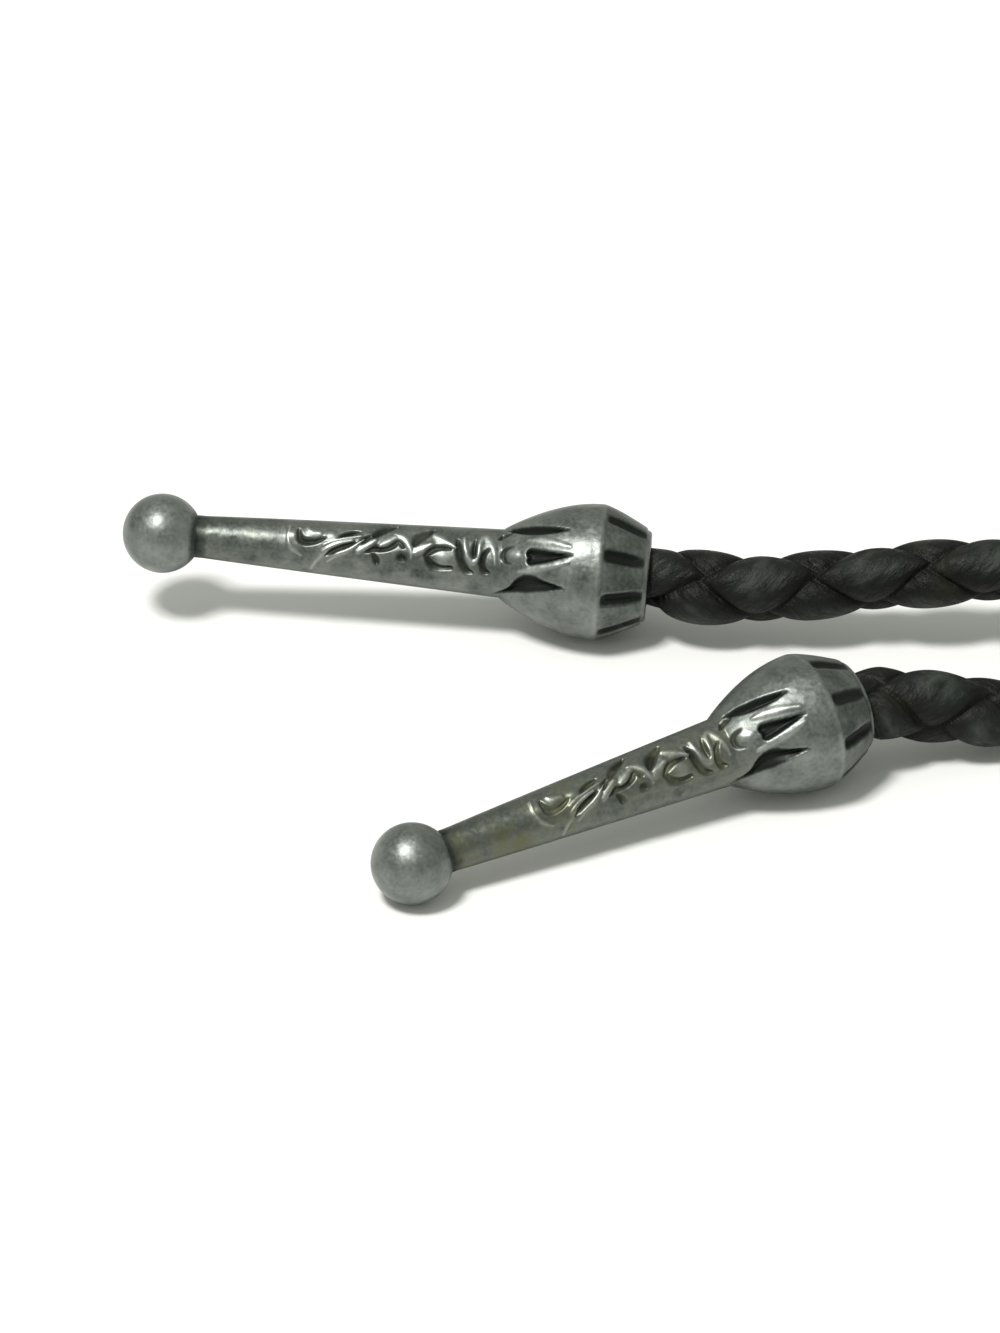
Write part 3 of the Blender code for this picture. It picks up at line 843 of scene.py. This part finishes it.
    def cast_relief(self, casting: Piece, artwork: Artwork) -> None:
        """Press the artwork and the slots into the casting, and paint its antique darkening and wear, with a
        painted contact shadow round the ball's neck and a highlight along the collar's ridge that is partly
        wear and partly painted.

        Args:
            casting: The plain casting.
            artwork: The scroll band and darts.
        """
        points = coordinates(casting)
        radii = np.hypot(points[:, 0], points[:, 1])
        turns = np.arctan2(points[:, 1], points[:, 0])
        heights = points[:, 2]
        outside = (radii > self.radius(heights) * self.skin) & (heights > self.rim_edge)
        outside &= heights < self.artwork_end
        rise, grime, worn = (np.zeros(len(points)) for _ in range(3))
        rise[outside], grime[outside], worn[outside] = artwork.relief(self, heights[outside], turns[outside])
        slots = np.zeros(len(points))
        slots[outside] = self.slot_relief(heights[outside], turns[outside])
        rise -= slots
        scale = np.where(outside, (radii + rise) / np.maximum(radii, 1e-9), 1.0)
        points[:, 0] *= scale
        points[:, 1] *= scale
        move_vertices(casting, points)
        band = between(heights, *self.scroll_zone)
        face = ease(np.cos(2 * (turns - artwork.face_turn)), -0.2, 0.5)
        tone = self.patina_and_shading
        patina_and_shading = tone.plain + tone.scroll_face * band * face * outside
        patina_and_shading += tone.worn_ridge * worn ** tone.worn_power
        patina_and_shading += tone.ball * ease(heights, *self.ball_foot)
        patina_and_shading += tone.stem_foot * ease(heights, *self.stem_foot) * outside
        patina_and_shading *= (1 - grime) * (1 - tone.slot_dulling * ease(slots, 0.0, self.slot_depth * tone.slot_reach))
        # The collar edge term paints a bright line along the ridge, partly edge wear and partly a painted
        # highlight.
        patina_and_shading += tone.collar_edge * ridge(heights, self.rear_length, tone.collar_edge_width) * outside
        patina_and_shading += tone.rear * (outside & (heights < self.rear_length - self.slot_start))
        inside = (radii < self.socket_diameter / 2 + 0.00002) & (heights < self.socket_depth + 0.0001)
        # The neck term paints the contact shadow where the stem meets the ball.
        middle, width, reach = self.neck_shadow
        neck = ridge(heights, middle, width) * (radii < reach)
        patina_and_shading = np.where(inside, tone.socket, patina_and_shading + tone.neck * neck)
        paint(casting, "patina_and_shading", np.clip(patina_and_shading, 0.0, 1.0))
        stain = between(heights, *self.plain_stem_zone)
        stain += self.scroll_stain * between(heights, *self.stained_scroll_zone)
        paint(casting, "tarnish", np.where(outside, stain * self.stem_tarnish, 0.0))

    def placing(self) -> Matrix:
        """Return the matrix that rests the tip on its ridge, with its ball at its own height."""
        ridge_height = self.ridge_diameter / 2 + FLOOR_CLEARANCE
        ball_height = self.ball_diameter / 2 + FLOOR_CLEARANCE + self.ball_lift
        tilt = math.asin((ridge_height - ball_height) / (self.ball_centre - self.rear_length))
        forward = Vector((math.cos(tilt) * math.cos(self.azimuth), math.cos(tilt) * math.sin(self.azimuth),
                          math.sin(tilt)))
        level = Vector((math.sin(self.azimuth), -math.cos(self.azimuth), 0))
        upward = level.cross(forward)
        front = upward * math.cos(self.front_turn) + level * math.sin(self.front_turn)
        towards_ball = -forward
        side = towards_ball.cross(front)
        origin = Vector((self.rim[0], self.rim[1], ridge_height + self.rear_length * math.sin(tilt)))
        turn = Matrix((front, side, towards_ball)).transposed().to_4x4()
        return Matrix.Translation(origin) @ turn

    def build(self, artwork: Artwork, finish: Finish) -> Piece:
        """Model the tip, lay it in its place and dress it.

        Args:
            artwork: The scroll band and darts.
            finish: The metal's finish.

        Returns:
            The finished tip.
        """
        casting = self.spin_casting()
        self.cast_relief(casting, artwork)
        casting.matrix_world = self.placing()
        settle(casting)
        bpy.ops.object.shade_smooth()
        casting.data.materials.append(finish)
        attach(casting, "root")
        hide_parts(self.node())
        LOG.info("%s: %d faces", casting.name, len(casting.data.polygons))
        return casting


def evenly_spaced(route: list[Vector], spacing: float) -> Array:
    """Space points evenly along a smooth curve through a route.

    Args:
        route: The points that the curve goes through.
        spacing: The distance between the new points.

    Returns:
        One row of x, y and z for each point.
    """
    fine = curve_through(np.array([tuple(point) for point in route]), ROUTE_PIECES)
    lengths = np.concatenate([[0.0], np.cumsum(np.linalg.norm(np.diff(fine, axis=0), axis=1))])
    count = max(2, round(lengths[-1] / spacing))
    targets = np.linspace(0, lengths[-1], count + 1)
    return np.column_stack([np.interp(targets, lengths, axis) for axis in fine.T])


@dataclass
class BraidedCord:
    """A stretch of four-strand round braid along a path: each crown of lace shows over half the way round."""

    name: str
    node: str
    route: list
    length: float
    exit_at: Vector
    sides: int
    column_turn: float
    crown_offset: float
    diameter: float = CORD_DIAMETER
    period: float = 0.0208
    core: float = 0.00205
    lace: float = 0.00142
    edge_firmness: float = 3.7
    side_floor: float = 0.20
    end_floor: float = 0.38
    stagger_steps: int = 3
    flank_shade: float = 1.5
    crown_span: tuple = (0.50, 0.98)
    end_crown: float = 0.3
    other_lace: float = 37.0
    arch_fall: tuple = (0.20, 0.30)
    waves: tuple = (3.7, 5.1)
    unevenness: float = 0.05
    squeeze: float = 0.86
    let_go: tuple = (0.0, 0.0030)
    slimming: tuple = (0.0060, 0.0180)
    settling: tuple = (0.002, 0.012)
    resting: bool = True
    squeezed_from: float = 0.0
    slimmed: float = 1.0

    @property
    def step(self) -> float:
        """Return the distance between rings, so that a strand passes one side of the ring at each."""
        return self.period / self.sides

    @property
    def column(self) -> float:
        """Return the turn of a column of crowns, on one of the ring's sides."""
        pitch = 2 * math.pi / self.sides
        return round(self.column_turn / pitch) * pitch

    def frames(self, path: Array) -> tuple[Array, Array, Array]:
        """Return the direction, the upward side and the level side of the cord at each ring.

        Args:
            path: The middles of the rings.

        Returns:
            Three arrays of unit vectors.
        """
        ahead = np.gradient(path, axis=0)
        ahead /= np.linalg.norm(ahead, axis=1)[:, None]
        upward = np.array([0.0, 0.0, 1.0]) - ahead * ahead[:, 2:3]
        upward /= np.linalg.norm(upward, axis=1)[:, None]
        return ahead, upward, np.cross(ahead, upward)

    def crowns(self, places: Array, phases: Array, turns: Array) -> tuple[Array, ...]:
        """Work out the braid's surface, where each crown of lace lies over the lace that winds the other way.

        Args:
            places: Distances along the cord.
            phases: The strands' winding at those places.
            turns: Turns round the cord from its top.

        Returns:
            The surface's radius, the distances along and across the top strand and its way of winding.
        """
        mean = self.core + self.lace / 2
        slant = math.atan2(2 * math.pi * mean, self.period)
        turn = turns - self.column
        quarter = math.pi / 2
        falling = (turn + phases + quarter) % math.pi - quarter
        rising = (turn - phases + quarter) % math.pi - quarter
        way = np.where(np.cos(2 * turn - falling - rising) > 0, -1.0, 1.0)
        overlap = self.stagger_steps * 2 * math.pi / self.sides
        lapped = (way > 0) & (np.abs(rising) > quarter - overlap + 0.000001)
        rising = np.where(lapped, rising - np.sign(rising) * math.pi, rising)
        way = np.where(lapped, -1.0, way)
        cell_turn = turn - (falling + rising) / 2
        cell_phase = phases - (falling - rising) / 2
        own = np.where(way < 0, falling, rising)
        other = np.where(way < 0, rising, falling)
        side = np.clip(np.abs(own) / np.where(way < 0, quarter, quarter - overlap), 0, 1)
        end = np.clip(np.abs(other) / np.where(way < 0, quarter + overlap, quarter), 0, 1)
        arch = (1 - self.arch_fall[1] * end ** 2) * (1 - self.arch_fall[0] * side ** 2)
        side_edge = self.side_floor + (1 - self.side_floor) * np.sqrt(1 - side ** self.edge_firmness)
        end_edge = self.end_floor + (1 - self.end_floor) * np.sqrt(1 - end ** self.edge_firmness)
        uneven = 1 + self.unevenness * np.sin(self.waves[0] * cell_phase + self.waves[1] * cell_turn)
        radius = self.core + self.lace * arch * side_edge * end_edge * uneven
        along = places * math.cos(slant) + way * turn * mean * math.sin(slant)
        across = own * mean * math.cos(slant)
        return radius, along, across, way

    def thickness(self, places: Array) -> Array:
        """Return how much the braid is squeezed at each place, where it goes into a socket.

        Args:
            places: Distances along the cord.

        Returns:
            A share of the braid's free size.
        """
        if self.squeezed_from <= 0:
            return np.full_like(places, self.slimmed)
        beyond = places - self.squeezed_from
        grown = self.squeeze + (1.0 - self.squeeze) * ease(beyond, *self.let_go)
        return grown - (1.0 - self.slimmed) * ease(beyond, *self.slimming)

    def build(self, finish: Finish) -> Piece:
        """Args:
            finish: The leather's finish.

        Returns:
            The finished cord.
        """
        path = evenly_spaced(self.route, self.step)
        rings = len(path)
        runs = np.linalg.norm(np.diff(path, axis=0), axis=1)
        places = np.concatenate([[0.0], np.cumsum(runs)])
        thickness = self.thickness(places)
        if self.resting:
            lowered = ease(places - self.squeezed_from, *self.settling)
            path[:, 2] -= (1.0 - thickness) * self.diameter / 2 * lowered
        ahead, upward, level = self.frames(path)
        pitch = 2 * math.pi / self.sides
        phases = pitch * (np.arange(rings) - round(self.crown_offset / self.step))
        turn = pitch * np.arange(self.sides)
        grid_place = np.repeat(places[:, None], self.sides, axis=1)
        grid_phase = np.repeat(phases[:, None], self.sides, axis=1)
        grid_turn = np.repeat(turn[None, :], rings, axis=0)
        bare = self.crowns(grid_place, grid_phase, grid_turn)[0]
        radius = bare * thickness[:, None]
        outward = (np.cos(grid_turn)[:, :, None] * upward[:, None, :]
                   + np.sin(grid_turn)[:, :, None] * level[:, None, :])
        points = path[:, None, :] + radius[:, :, None] * outward
        points[..., 2] = np.maximum(points[..., 2], FLOOR_CLEARANCE)
        vertices = [tuple(point) for point in points.reshape(-1, 3)] + [tuple(path[0]), tuple(path[-1])]
        faces = self.faces(bare)
        mesh = bpy.data.meshes.new(self.name)
        mesh.from_pydata(vertices, [], faces)
        mesh.validate()
        cord = bpy.data.objects.new(self.name, mesh)
        bpy.context.scene.collection.objects.link(cord)
        # The crown layer is painted shade: it falls from 1 on a crown's top to 0 down its flanks and in the
        # creases.
        low, high = (self.core + self.lace * share for share in self.crown_span)
        crown = np.clip((bare.ravel() - low) / (high - low), 0, 1)
        paint(cord, "crown", np.append(crown ** self.flank_shade, (self.end_crown, self.end_crown)))
        self.unwrap(cord, places, phases, turn)
        pick(cord)
        bpy.ops.object.shade_smooth()
        mesh.materials.append(finish)
        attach(cord, "root")
        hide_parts(self.node)
        LOG.info("%s: %d rings, %.1f mm long", self.name, rings, places[-1] / MM)
        return cord

    def faces(self, bare: Array) -> list[tuple[int, int, int]]:
        """Join the rings, with each face's cut along the crease where there is one.

        Args:
            bare: The braid's radius at each vertex.

        Returns:
            Triangles that point outwards, with a closed end at each side.
        """
        rings, sides = bare.shape
        ring = np.arange(rings - 1)[:, None]
        side = np.arange(sides)[None, :]
        after = (side + 1) % sides
        a = ring * sides + side
        b = ring * sides + after
        c = (ring + 1) * sides + after
        d = (ring + 1) * sides + side
        flat = bare.ravel()
        rising = flat[a] + flat[c] <= flat[b] + flat[d]
        one = np.where(rising[..., None], np.stack([a, b, c], -1), np.stack([a, b, d], -1))
        two = np.where(rising[..., None], np.stack([a, c, d], -1), np.stack([b, c, d], -1))
        joined = np.stack([one, two], 2).reshape(-1, 3)
        joined = joined[:, ::-1]
        start, stop = rings * sides, rings * sides + 1
        last = (rings - 1) * sides
        caps = [(start, i, (i + 1) % sides) for i in range(sides)]
        caps += [(stop, last + (i + 1) % sides, last + i) for i in range(sides)]
        return [tuple(int(index) for index in face) for face in joined] + [face[::-1] for face in caps]

    def unwrap(self, cord: Piece, places: Array, phases: Array, turn: Array) -> None:
        """Give the cord a UV map that runs along and across each strand of lace, in cord widths.

        Args:
            cord: The cord.
            places: The rings' distances along it.
            phases: The strands' winding at each ring.
            turn: The sides' turns.
        """
        mesh = cord.data
        layer = mesh.uv_layers.new(name="lace")
        loops = np.empty(len(mesh.loops), dtype=np.int64)
        mesh.loops.foreach_get("vertex_index", loops)
        corner = loops.reshape(-1, 3)
        ring = np.minimum(corner // self.sides, len(places) - 1)
        angle = turn[corner % self.sides]
        wrapped = np.ptp(angle, axis=1) > math.pi
        angle = np.where(wrapped[:, None] & (angle < math.pi), angle + 2 * math.pi, angle)
        place, phase = places[ring], phases[ring]
        middle = [np.repeat(values.mean(axis=1)[:, None], 3, axis=1) for values in (place, phase, angle)]
        _, along, across, way = self.crowns(*middle)
        mean = self.core + self.lace / 2
        slant = math.atan2(2 * math.pi * mean, self.period)
        step, swing = place - middle[0], angle - middle[2]
        along = along + step * math.cos(slant) + way * swing * mean * math.sin(slant)
        across = across - way * step * math.sin(slant) + swing * mean * math.cos(slant)
        shift = np.where(way < 0, 0.0, self.other_lace)
        spots = np.stack([along, across], -1) / self.diameter + shift[..., None]
        layer.data.foreach_set("uv", spots.ravel())


@dataclass
class DomedSlide:
    """The plain slide: a domed oval plate on a block with a tunnel for each run of the cord."""

    plate_length: float = 0.0520
    plate_width: float = 0.0360
    plate_edge: float = 0.0020
    plate_dome: float = 0.0020
    plate_sides: int = 128
    edge_rounding: float = 0.45
    edge_steps: int = 6
    dome_rings: int = 22
    block_length: float = 0.0240
    block_wall: float = 0.0012
    block_roof: float = 0.0004
    tunnel_spacing: float = 0.0120
    block_bevel: float = 0.0006
    tunnel_sides: int = 64
    plate_patina: float = 0.52
    edge_wear: float = 0.16
    worn_edge: tuple = (0.9, 1.0)
    block_patina: float = 0.36
    tarnish: float = 0.15
    smooth_angle: float = math.radians(32)

    @property
    def tunnel_radius(self) -> float:
        """Return a tunnel's radius."""
        return CORD_DIAMETER / 2 + GAP

    @property
    def tunnel_height(self) -> float:
        """Return the height of a tunnel's middle."""
        return self.block_wall + self.tunnel_radius

    @property
    def block_height(self) -> float:
        """Return the height of the plate's underside."""
        return self.tunnel_height + self.tunnel_radius + self.block_roof

    def plate(self) -> Piece:
        """Model the plate from a circle: raise its edge, round it and draw the dome in to its middle.

        Returns:
            The closed oval plate, in its place.
        """
        deselect_all()
        half = self.plate_length / 2
        rounding = self.plate_edge * self.edge_rounding
        bpy.ops.mesh.primitive_circle_add(vertices=self.plate_sides, radius=half - rounding,
                                          location=(0, 0, self.block_height), fill_type="NGON")
        plate = bpy.context.object
        plate.name = "domed_slide"
        bpy.ops.object.mode_set(mode="EDIT")
        bpy.ops.mesh.select_all(action="SELECT")
        profile = []
        for step in range(1, self.edge_steps + 1):
            angle = step * math.pi / (2 * self.edge_steps)
            profile.append((half - rounding + rounding * math.sin(angle), rounding * (1 - math.cos(angle))))
        for step in range(self.edge_steps + 1):
            angle = step * math.pi / (2 * self.edge_steps)
            profile.append((half - rounding + rounding * math.cos(angle),
                            self.plate_edge - rounding + rounding * math.sin(angle)))
        for step in range(1, self.dome_rings):
            share = 1 - step / self.dome_rings
            profile.append(((half - rounding) * share, self.plate_edge + self.plate_dome * (1 - share ** 2)))
        radius, height = half - rounding, 0.0
        for next_radius, next_height in profile:
            bpy.ops.mesh.extrude_region_move(TRANSFORM_OT_translate={"value": (0, 0, next_height - height)})
            grow = next_radius / radius
            bpy.ops.transform.resize(value=(grow, grow, 1))
            radius, height = next_radius, next_height
        bpy.ops.mesh.poke()
        bpy.ops.mesh.select_all(action="SELECT")
        bpy.ops.transform.resize(value=(1, self.plate_width / self.plate_length, 1))
        bpy.ops.mesh.remove_doubles(threshold=0.000005)
        bpy.ops.mesh.normals_make_consistent(inside=False)
        bpy.ops.object.mode_set(mode="OBJECT")
        settle(plate)
        return plate

    def block(self) -> Piece:
        """Model the block from a cube with bevelled edges, and cut its two tunnels.

        Returns:
            The block, in its place.
        """
        deselect_all()
        width = self.tunnel_spacing + 2 * (self.tunnel_radius + self.block_wall)
        height = self.block_height + self.plate_edge / 2
        bpy.ops.mesh.primitive_cube_add(size=1, location=(0, 0, height / 2))
        block = bpy.context.object
        block.scale = (self.block_length, width, height)
        settle(block)
        bevel = block.modifiers.new("edges", "BEVEL")
        bevel.width = self.block_bevel
        bevel.segments = 3
        bevel.harden_normals = False
        bpy.ops.object.modifier_apply(modifier=bevel.name)
        for side in (-1, 1):
            middle = (0, side * self.tunnel_spacing / 2, self.tunnel_height)
            bpy.ops.mesh.primitive_cylinder_add(vertices=self.tunnel_sides, radius=self.tunnel_radius,
                                                depth=self.block_length * 1.5, location=middle,
                                                rotation=(0, math.pi / 2, 0))
            drill = bpy.context.object
            settle(drill)
            self.cut(block, drill, "DIFFERENCE")
        return block

    def cut(self, piece: Piece, other: Piece, operation: str) -> None:
        """Cut or join a piece with another, and remove the other.

        Args:
            piece: The piece that is kept.
            other: The piece that it is cut by or joined with.
            operation: Blender's name for the operation.
        """
        pick(piece)
        boolean = piece.modifiers.new("cut", "BOOLEAN")
        boolean.operation = operation
        boolean.object = other
        boolean.solver = "EXACT"
        bpy.ops.object.modifier_apply(modifier=boolean.name)
        bpy.data.objects.remove(other)

    def build(self, finish: Finish) -> Piece:
        """Model the slide and dress it.

        Args:
            finish: The metal's finish.

        Returns:
            The finished slide.
        """
        plate = self.plate()
        self.cut(plate, self.block(), "UNION")
        points = coordinates(plate)
        edge = np.hypot(points[:, 0] / (self.plate_length / 2), points[:, 1] / (self.plate_width / 2))
        upper = points[:, 2] > self.block_height + 0.5 * MM
        patina_and_shading = self.plate_patina + self.edge_wear * ease(edge, *self.worn_edge) * upper
        patina_and_shading = np.where(points[:, 2] < self.block_height, self.block_patina, patina_and_shading)
        paint(plate, "patina_and_shading", patina_and_shading)
        paint(plate, "tarnish", np.full(len(points), self.tarnish))
        pick(plate)
        bpy.ops.object.shade_smooth_by_angle(angle=self.smooth_angle)
        plate.data.materials.clear()
        plate.data.materials.append(finish)
        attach(plate, "root")
        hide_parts("slide")
        LOG.info("%s: %d faces", plate.name, len(plate.data.polygons))
        return plate


FAR_ROUTE = (
    (-0.1465, 0.0169, 0.0022), (-0.1410, 0.0162, 0.0022), (-0.1353, 0.0161, 0.0026),
    (-0.1279, 0.0157, 0.0035), (-0.1195, 0.0153, 0.0042), (-0.1080, 0.0151, 0.0045),
    (-0.0940, 0.0152, 0.0040), (-0.0780, 0.0145, 0.0024), (-0.0600, 0.0121, 0.0010),
    (-0.0430, 0.0090, 0.0004), (-0.0280, 0.0066, 0.0007),
)
NEAR_ROUTE = (
    (-0.1306, -0.0039, 0.0025), (-0.1265, -0.0034, 0.0016), (-0.1210, -0.0028, 0.0007),
    (-0.1130, -0.0020, 0.0001), (-0.1000, -0.0024, 0.0), (-0.0820, -0.0050, 0.0),
    (-0.0620, -0.0076, 0.0), (-0.0430, -0.0078, 0.0001), (-0.0280, -0.0065, 0.0007),
)
LOOP_ROUTE = (
    (0.0280, 0.0066, 0.0007), (0.0440, 0.0098, 0.0001), (0.0640, 0.0152, 0.0), (0.0880, 0.0202, 0.0),
    (0.1150, 0.0228, 0.0), (0.1450, 0.0231, 0.0), (0.1750, 0.0232, 0.0), (0.2000, 0.0238, 0.0),
    (0.2180, 0.0206, 0.0), (0.2308, 0.0118, 0.0), (0.2354, -0.0006, 0.0), (0.2305, -0.0128, 0.0),
    (0.2170, -0.0212, 0.0), (0.1990, -0.0238, 0.0), (0.1740, -0.0228, 0.0), (0.1440, -0.0226, 0.0),
    (0.1140, -0.0224, 0.0), (0.0870, -0.0196, 0.0), (0.0630, -0.0146, 0.0), (0.0440, -0.0095, 0.0001),
    (0.0280, -0.0065, 0.0007),
)


@dataclass
class CordSet:
    """The tie's one braid as three cords: from each tip to the slide, and round the neck."""

    slide: DomedSlide
    strand_sides: int = 88
    loop_sides: int = 60
    loop_length: float = 0.4974
    loop_column_turn: float = math.radians(30)
    loop_crown_offset: float = 0.002

    def lifted(self, route: tuple) -> list[Vector]:
        """Return a route's points with their heights measured to the cord's middle."""
        return [Vector((x, y, CORD_DIAMETER / 2 + FLOOR_CLEARANCE + lift)) for x, y, lift in route]

    def tunnel(self, side: int, way: int) -> list[Vector]:
        """Return the cord's points in a tunnel, from its mouth to the middle of the slide.

        Args:
            side: 1 for the far tunnel and -1 for the near one.
            way: -1 on the tips' side of the slide and 1 on the neck's.

        Returns:
            Three points.
        """
        y = side * self.slide.tunnel_spacing / 2
        places = (self.slide.block_length / 2, self.slide.block_length / 4, GAP / 2)
        return [Vector((way * x, y, self.slide.tunnel_height)) for x in places]

    def strand(self, tip: WesternTip, route: tuple, side: int, length: float, **look: float) -> BraidedCord:
        """Return the cord from a tip's socket to the middle of the slide.

        Args:
            tip: The tip that it hangs.
            route: Its route between the tip and the slide.
            side: Which tunnel it goes into.
            length: Its whole length, which is kept on the cord but not used.
            **look: The braid's phase and sizes.

        Returns:
            The cord, ready to build.
        """
        placing = tip.placing()
        depths = (tip.socket_depth - GAP, tip.socket_depth / 2, 0)
        inside = [placing @ Vector((0, 0, depth)) for depth in depths]
        points = [*inside, *self.lifted(route), *self.tunnel(side, -1)]
        return BraidedCord(f"braid_{tip.lie.value}", f"strand_{tip.lie.value}", points, length, inside[-1],
                           self.strand_sides, squeezed_from=tip.socket_depth - GAP, **look)

    def neck_loop(self) -> BraidedCord:
        """Return the cord round the neck, from the middle of the slide and back to it."""
        start = list(reversed(self.tunnel(1, 1)))
        stop = self.tunnel(-1, 1)
        points = [*start, *self.lifted(LOOP_ROUTE), *stop]
        exit_at = self.tunnel(1, 1)[0]
        return BraidedCord("braid_neck", "neck_loop", points, self.loop_length, exit_at, self.loop_sides,
                           self.loop_column_turn, self.loop_crown_offset, slimmed=0.94, stagger_steps=2)


@dataclass
class Studio:
    """The camera, the white sheet and the soft light."""

    look_at: tuple = (-0.16512, 0.01093, 0.00149)
    distance: float = 0.900
    elevation: float = math.radians(33)
    azimuth: float = math.radians(87)
    lens: float = 355.5
    sensor: float = 36.0
    sheet_side: float = 6.0
    room_strength: float = 0.60
    room_colour: tuple = (0.965, 1.0, 0.91)
    key_place: tuple = (-0.26, -0.27, 0.86)
    key_distance: float = 2.6
    key_side: float = 0.57
    key_power: float = 74.0
    key_colour: tuple = (1.0, 0.985, 0.97)

    def view_direction(self) -> Vector:
        """Return the direction in which the camera looks."""
        return Vector((math.cos(self.elevation) * math.cos(self.azimuth),
                       math.cos(self.elevation) * math.sin(self.azimuth), -math.sin(self.elevation)))

    def camera(self) -> None:
        """Set up the camera at the photograph's angle."""
        data = bpy.data.cameras.new("camera")
        data.lens = self.lens
        data.sensor_width = self.sensor
        data.sensor_fit = "HORIZONTAL"
        data.clip_start = 0.01
        camera = bpy.data.objects.new("camera", data)
        bpy.context.scene.collection.objects.link(camera)
        camera.location = Vector(self.look_at) - self.view_direction() * self.distance
        camera.rotation_euler = self.view_direction().to_track_quat("-Z", "Y").to_euler()
        bpy.context.scene.camera = camera

    def softbox(self) -> None:
        """Hang the square softbox, whose place is given as camera right, away and up."""
        right = Vector((math.sin(self.azimuth), -math.cos(self.azimuth), 0))
        away = Vector((math.cos(self.azimuth), math.sin(self.azimuth), 0))
        place = right * self.key_place[0] + away * self.key_place[1] + Vector((0, 0, self.key_place[2]))
        data = bpy.data.lights.new("key_softbox", "AREA")
        data.shape = "SQUARE"
        data.size = self.key_side
        data.energy = self.key_power
        data.color = self.key_colour
        light = bpy.data.objects.new("key_softbox", data)
        bpy.context.scene.collection.objects.link(light)
        light.location = Vector(self.look_at) + place.normalized() * self.key_distance
        light.rotation_euler = (-place).to_track_quat("-Z", "Y").to_euler()

    def sheet(self, finish: Finish) -> None:
        """Lay the white sheet under the tie.

        Args:
            finish: The sheet's finish.
        """
        deselect_all()
        bpy.ops.mesh.primitive_plane_add(size=self.sheet_side)
        sheet = bpy.context.object
        sheet.name = "white_sheet"
        sheet.data.materials.append(finish)

    def surroundings(self) -> None:
        """Set the even white light of the room."""
        world = bpy.data.worlds.new("white_room")
        world.use_nodes = True
        background = world.node_tree.nodes["Background"]
        background.inputs["Color"].default_value = (*self.room_colour, 1.0)
        background.inputs["Strength"].default_value = self.room_strength
        bpy.context.scene.world = world

    def build(self) -> None:
        """Set up the camera, the sheet and the lights."""
        self.camera()
        self.sheet(PaperFinish().build())
        self.surroundings()
        self.softbox()
        bpy.context.scene.view_settings.view_transform = "Standard"


def main() -> None:
    """Build the studio, the cords, the tips and the slide."""
    logging.basicConfig(level=logging.INFO, format="%(name)s: %(message)s")
    Studio().build()
    slide = DomedSlide()
    far = WesternTip(Lie.FAR, rim=(-0.1511, 0.0184), azimuth=math.radians(-6.9), ball_lift=0.0051,
                     stem_tarnish=0.22)
    near = WesternTip(Lie.NEAR, rim=(-0.1343, -0.0048), azimuth=math.radians(25.2), ball_lift=0.0,
                      stem_tarnish=1.0)
    cords = CordSet(slide)
    leather = LeatherFinish().build()
    socket = far.socket_depth - GAP
    cords.strand(far, FAR_ROUTE, 1, 0.1609, column_turn=math.radians(37), crown_offset=socket + 0.0104,
                 slimmed=0.92, resting=False).build(leather)
    cords.strand(near, NEAR_ROUTE, -1, 0.1438, column_turn=math.radians(16), crown_offset=socket + 0.0073,
                 slimmed=0.90).build(leather)
    cords.neck_loop().build(leather)
    pewter = PewterFinish().build()
    artwork = Artwork()
    for tip in (far, near):
        tip.build(artwork, pewter)
    slide.build(pewter)


if __name__ == "__main__":
    main()
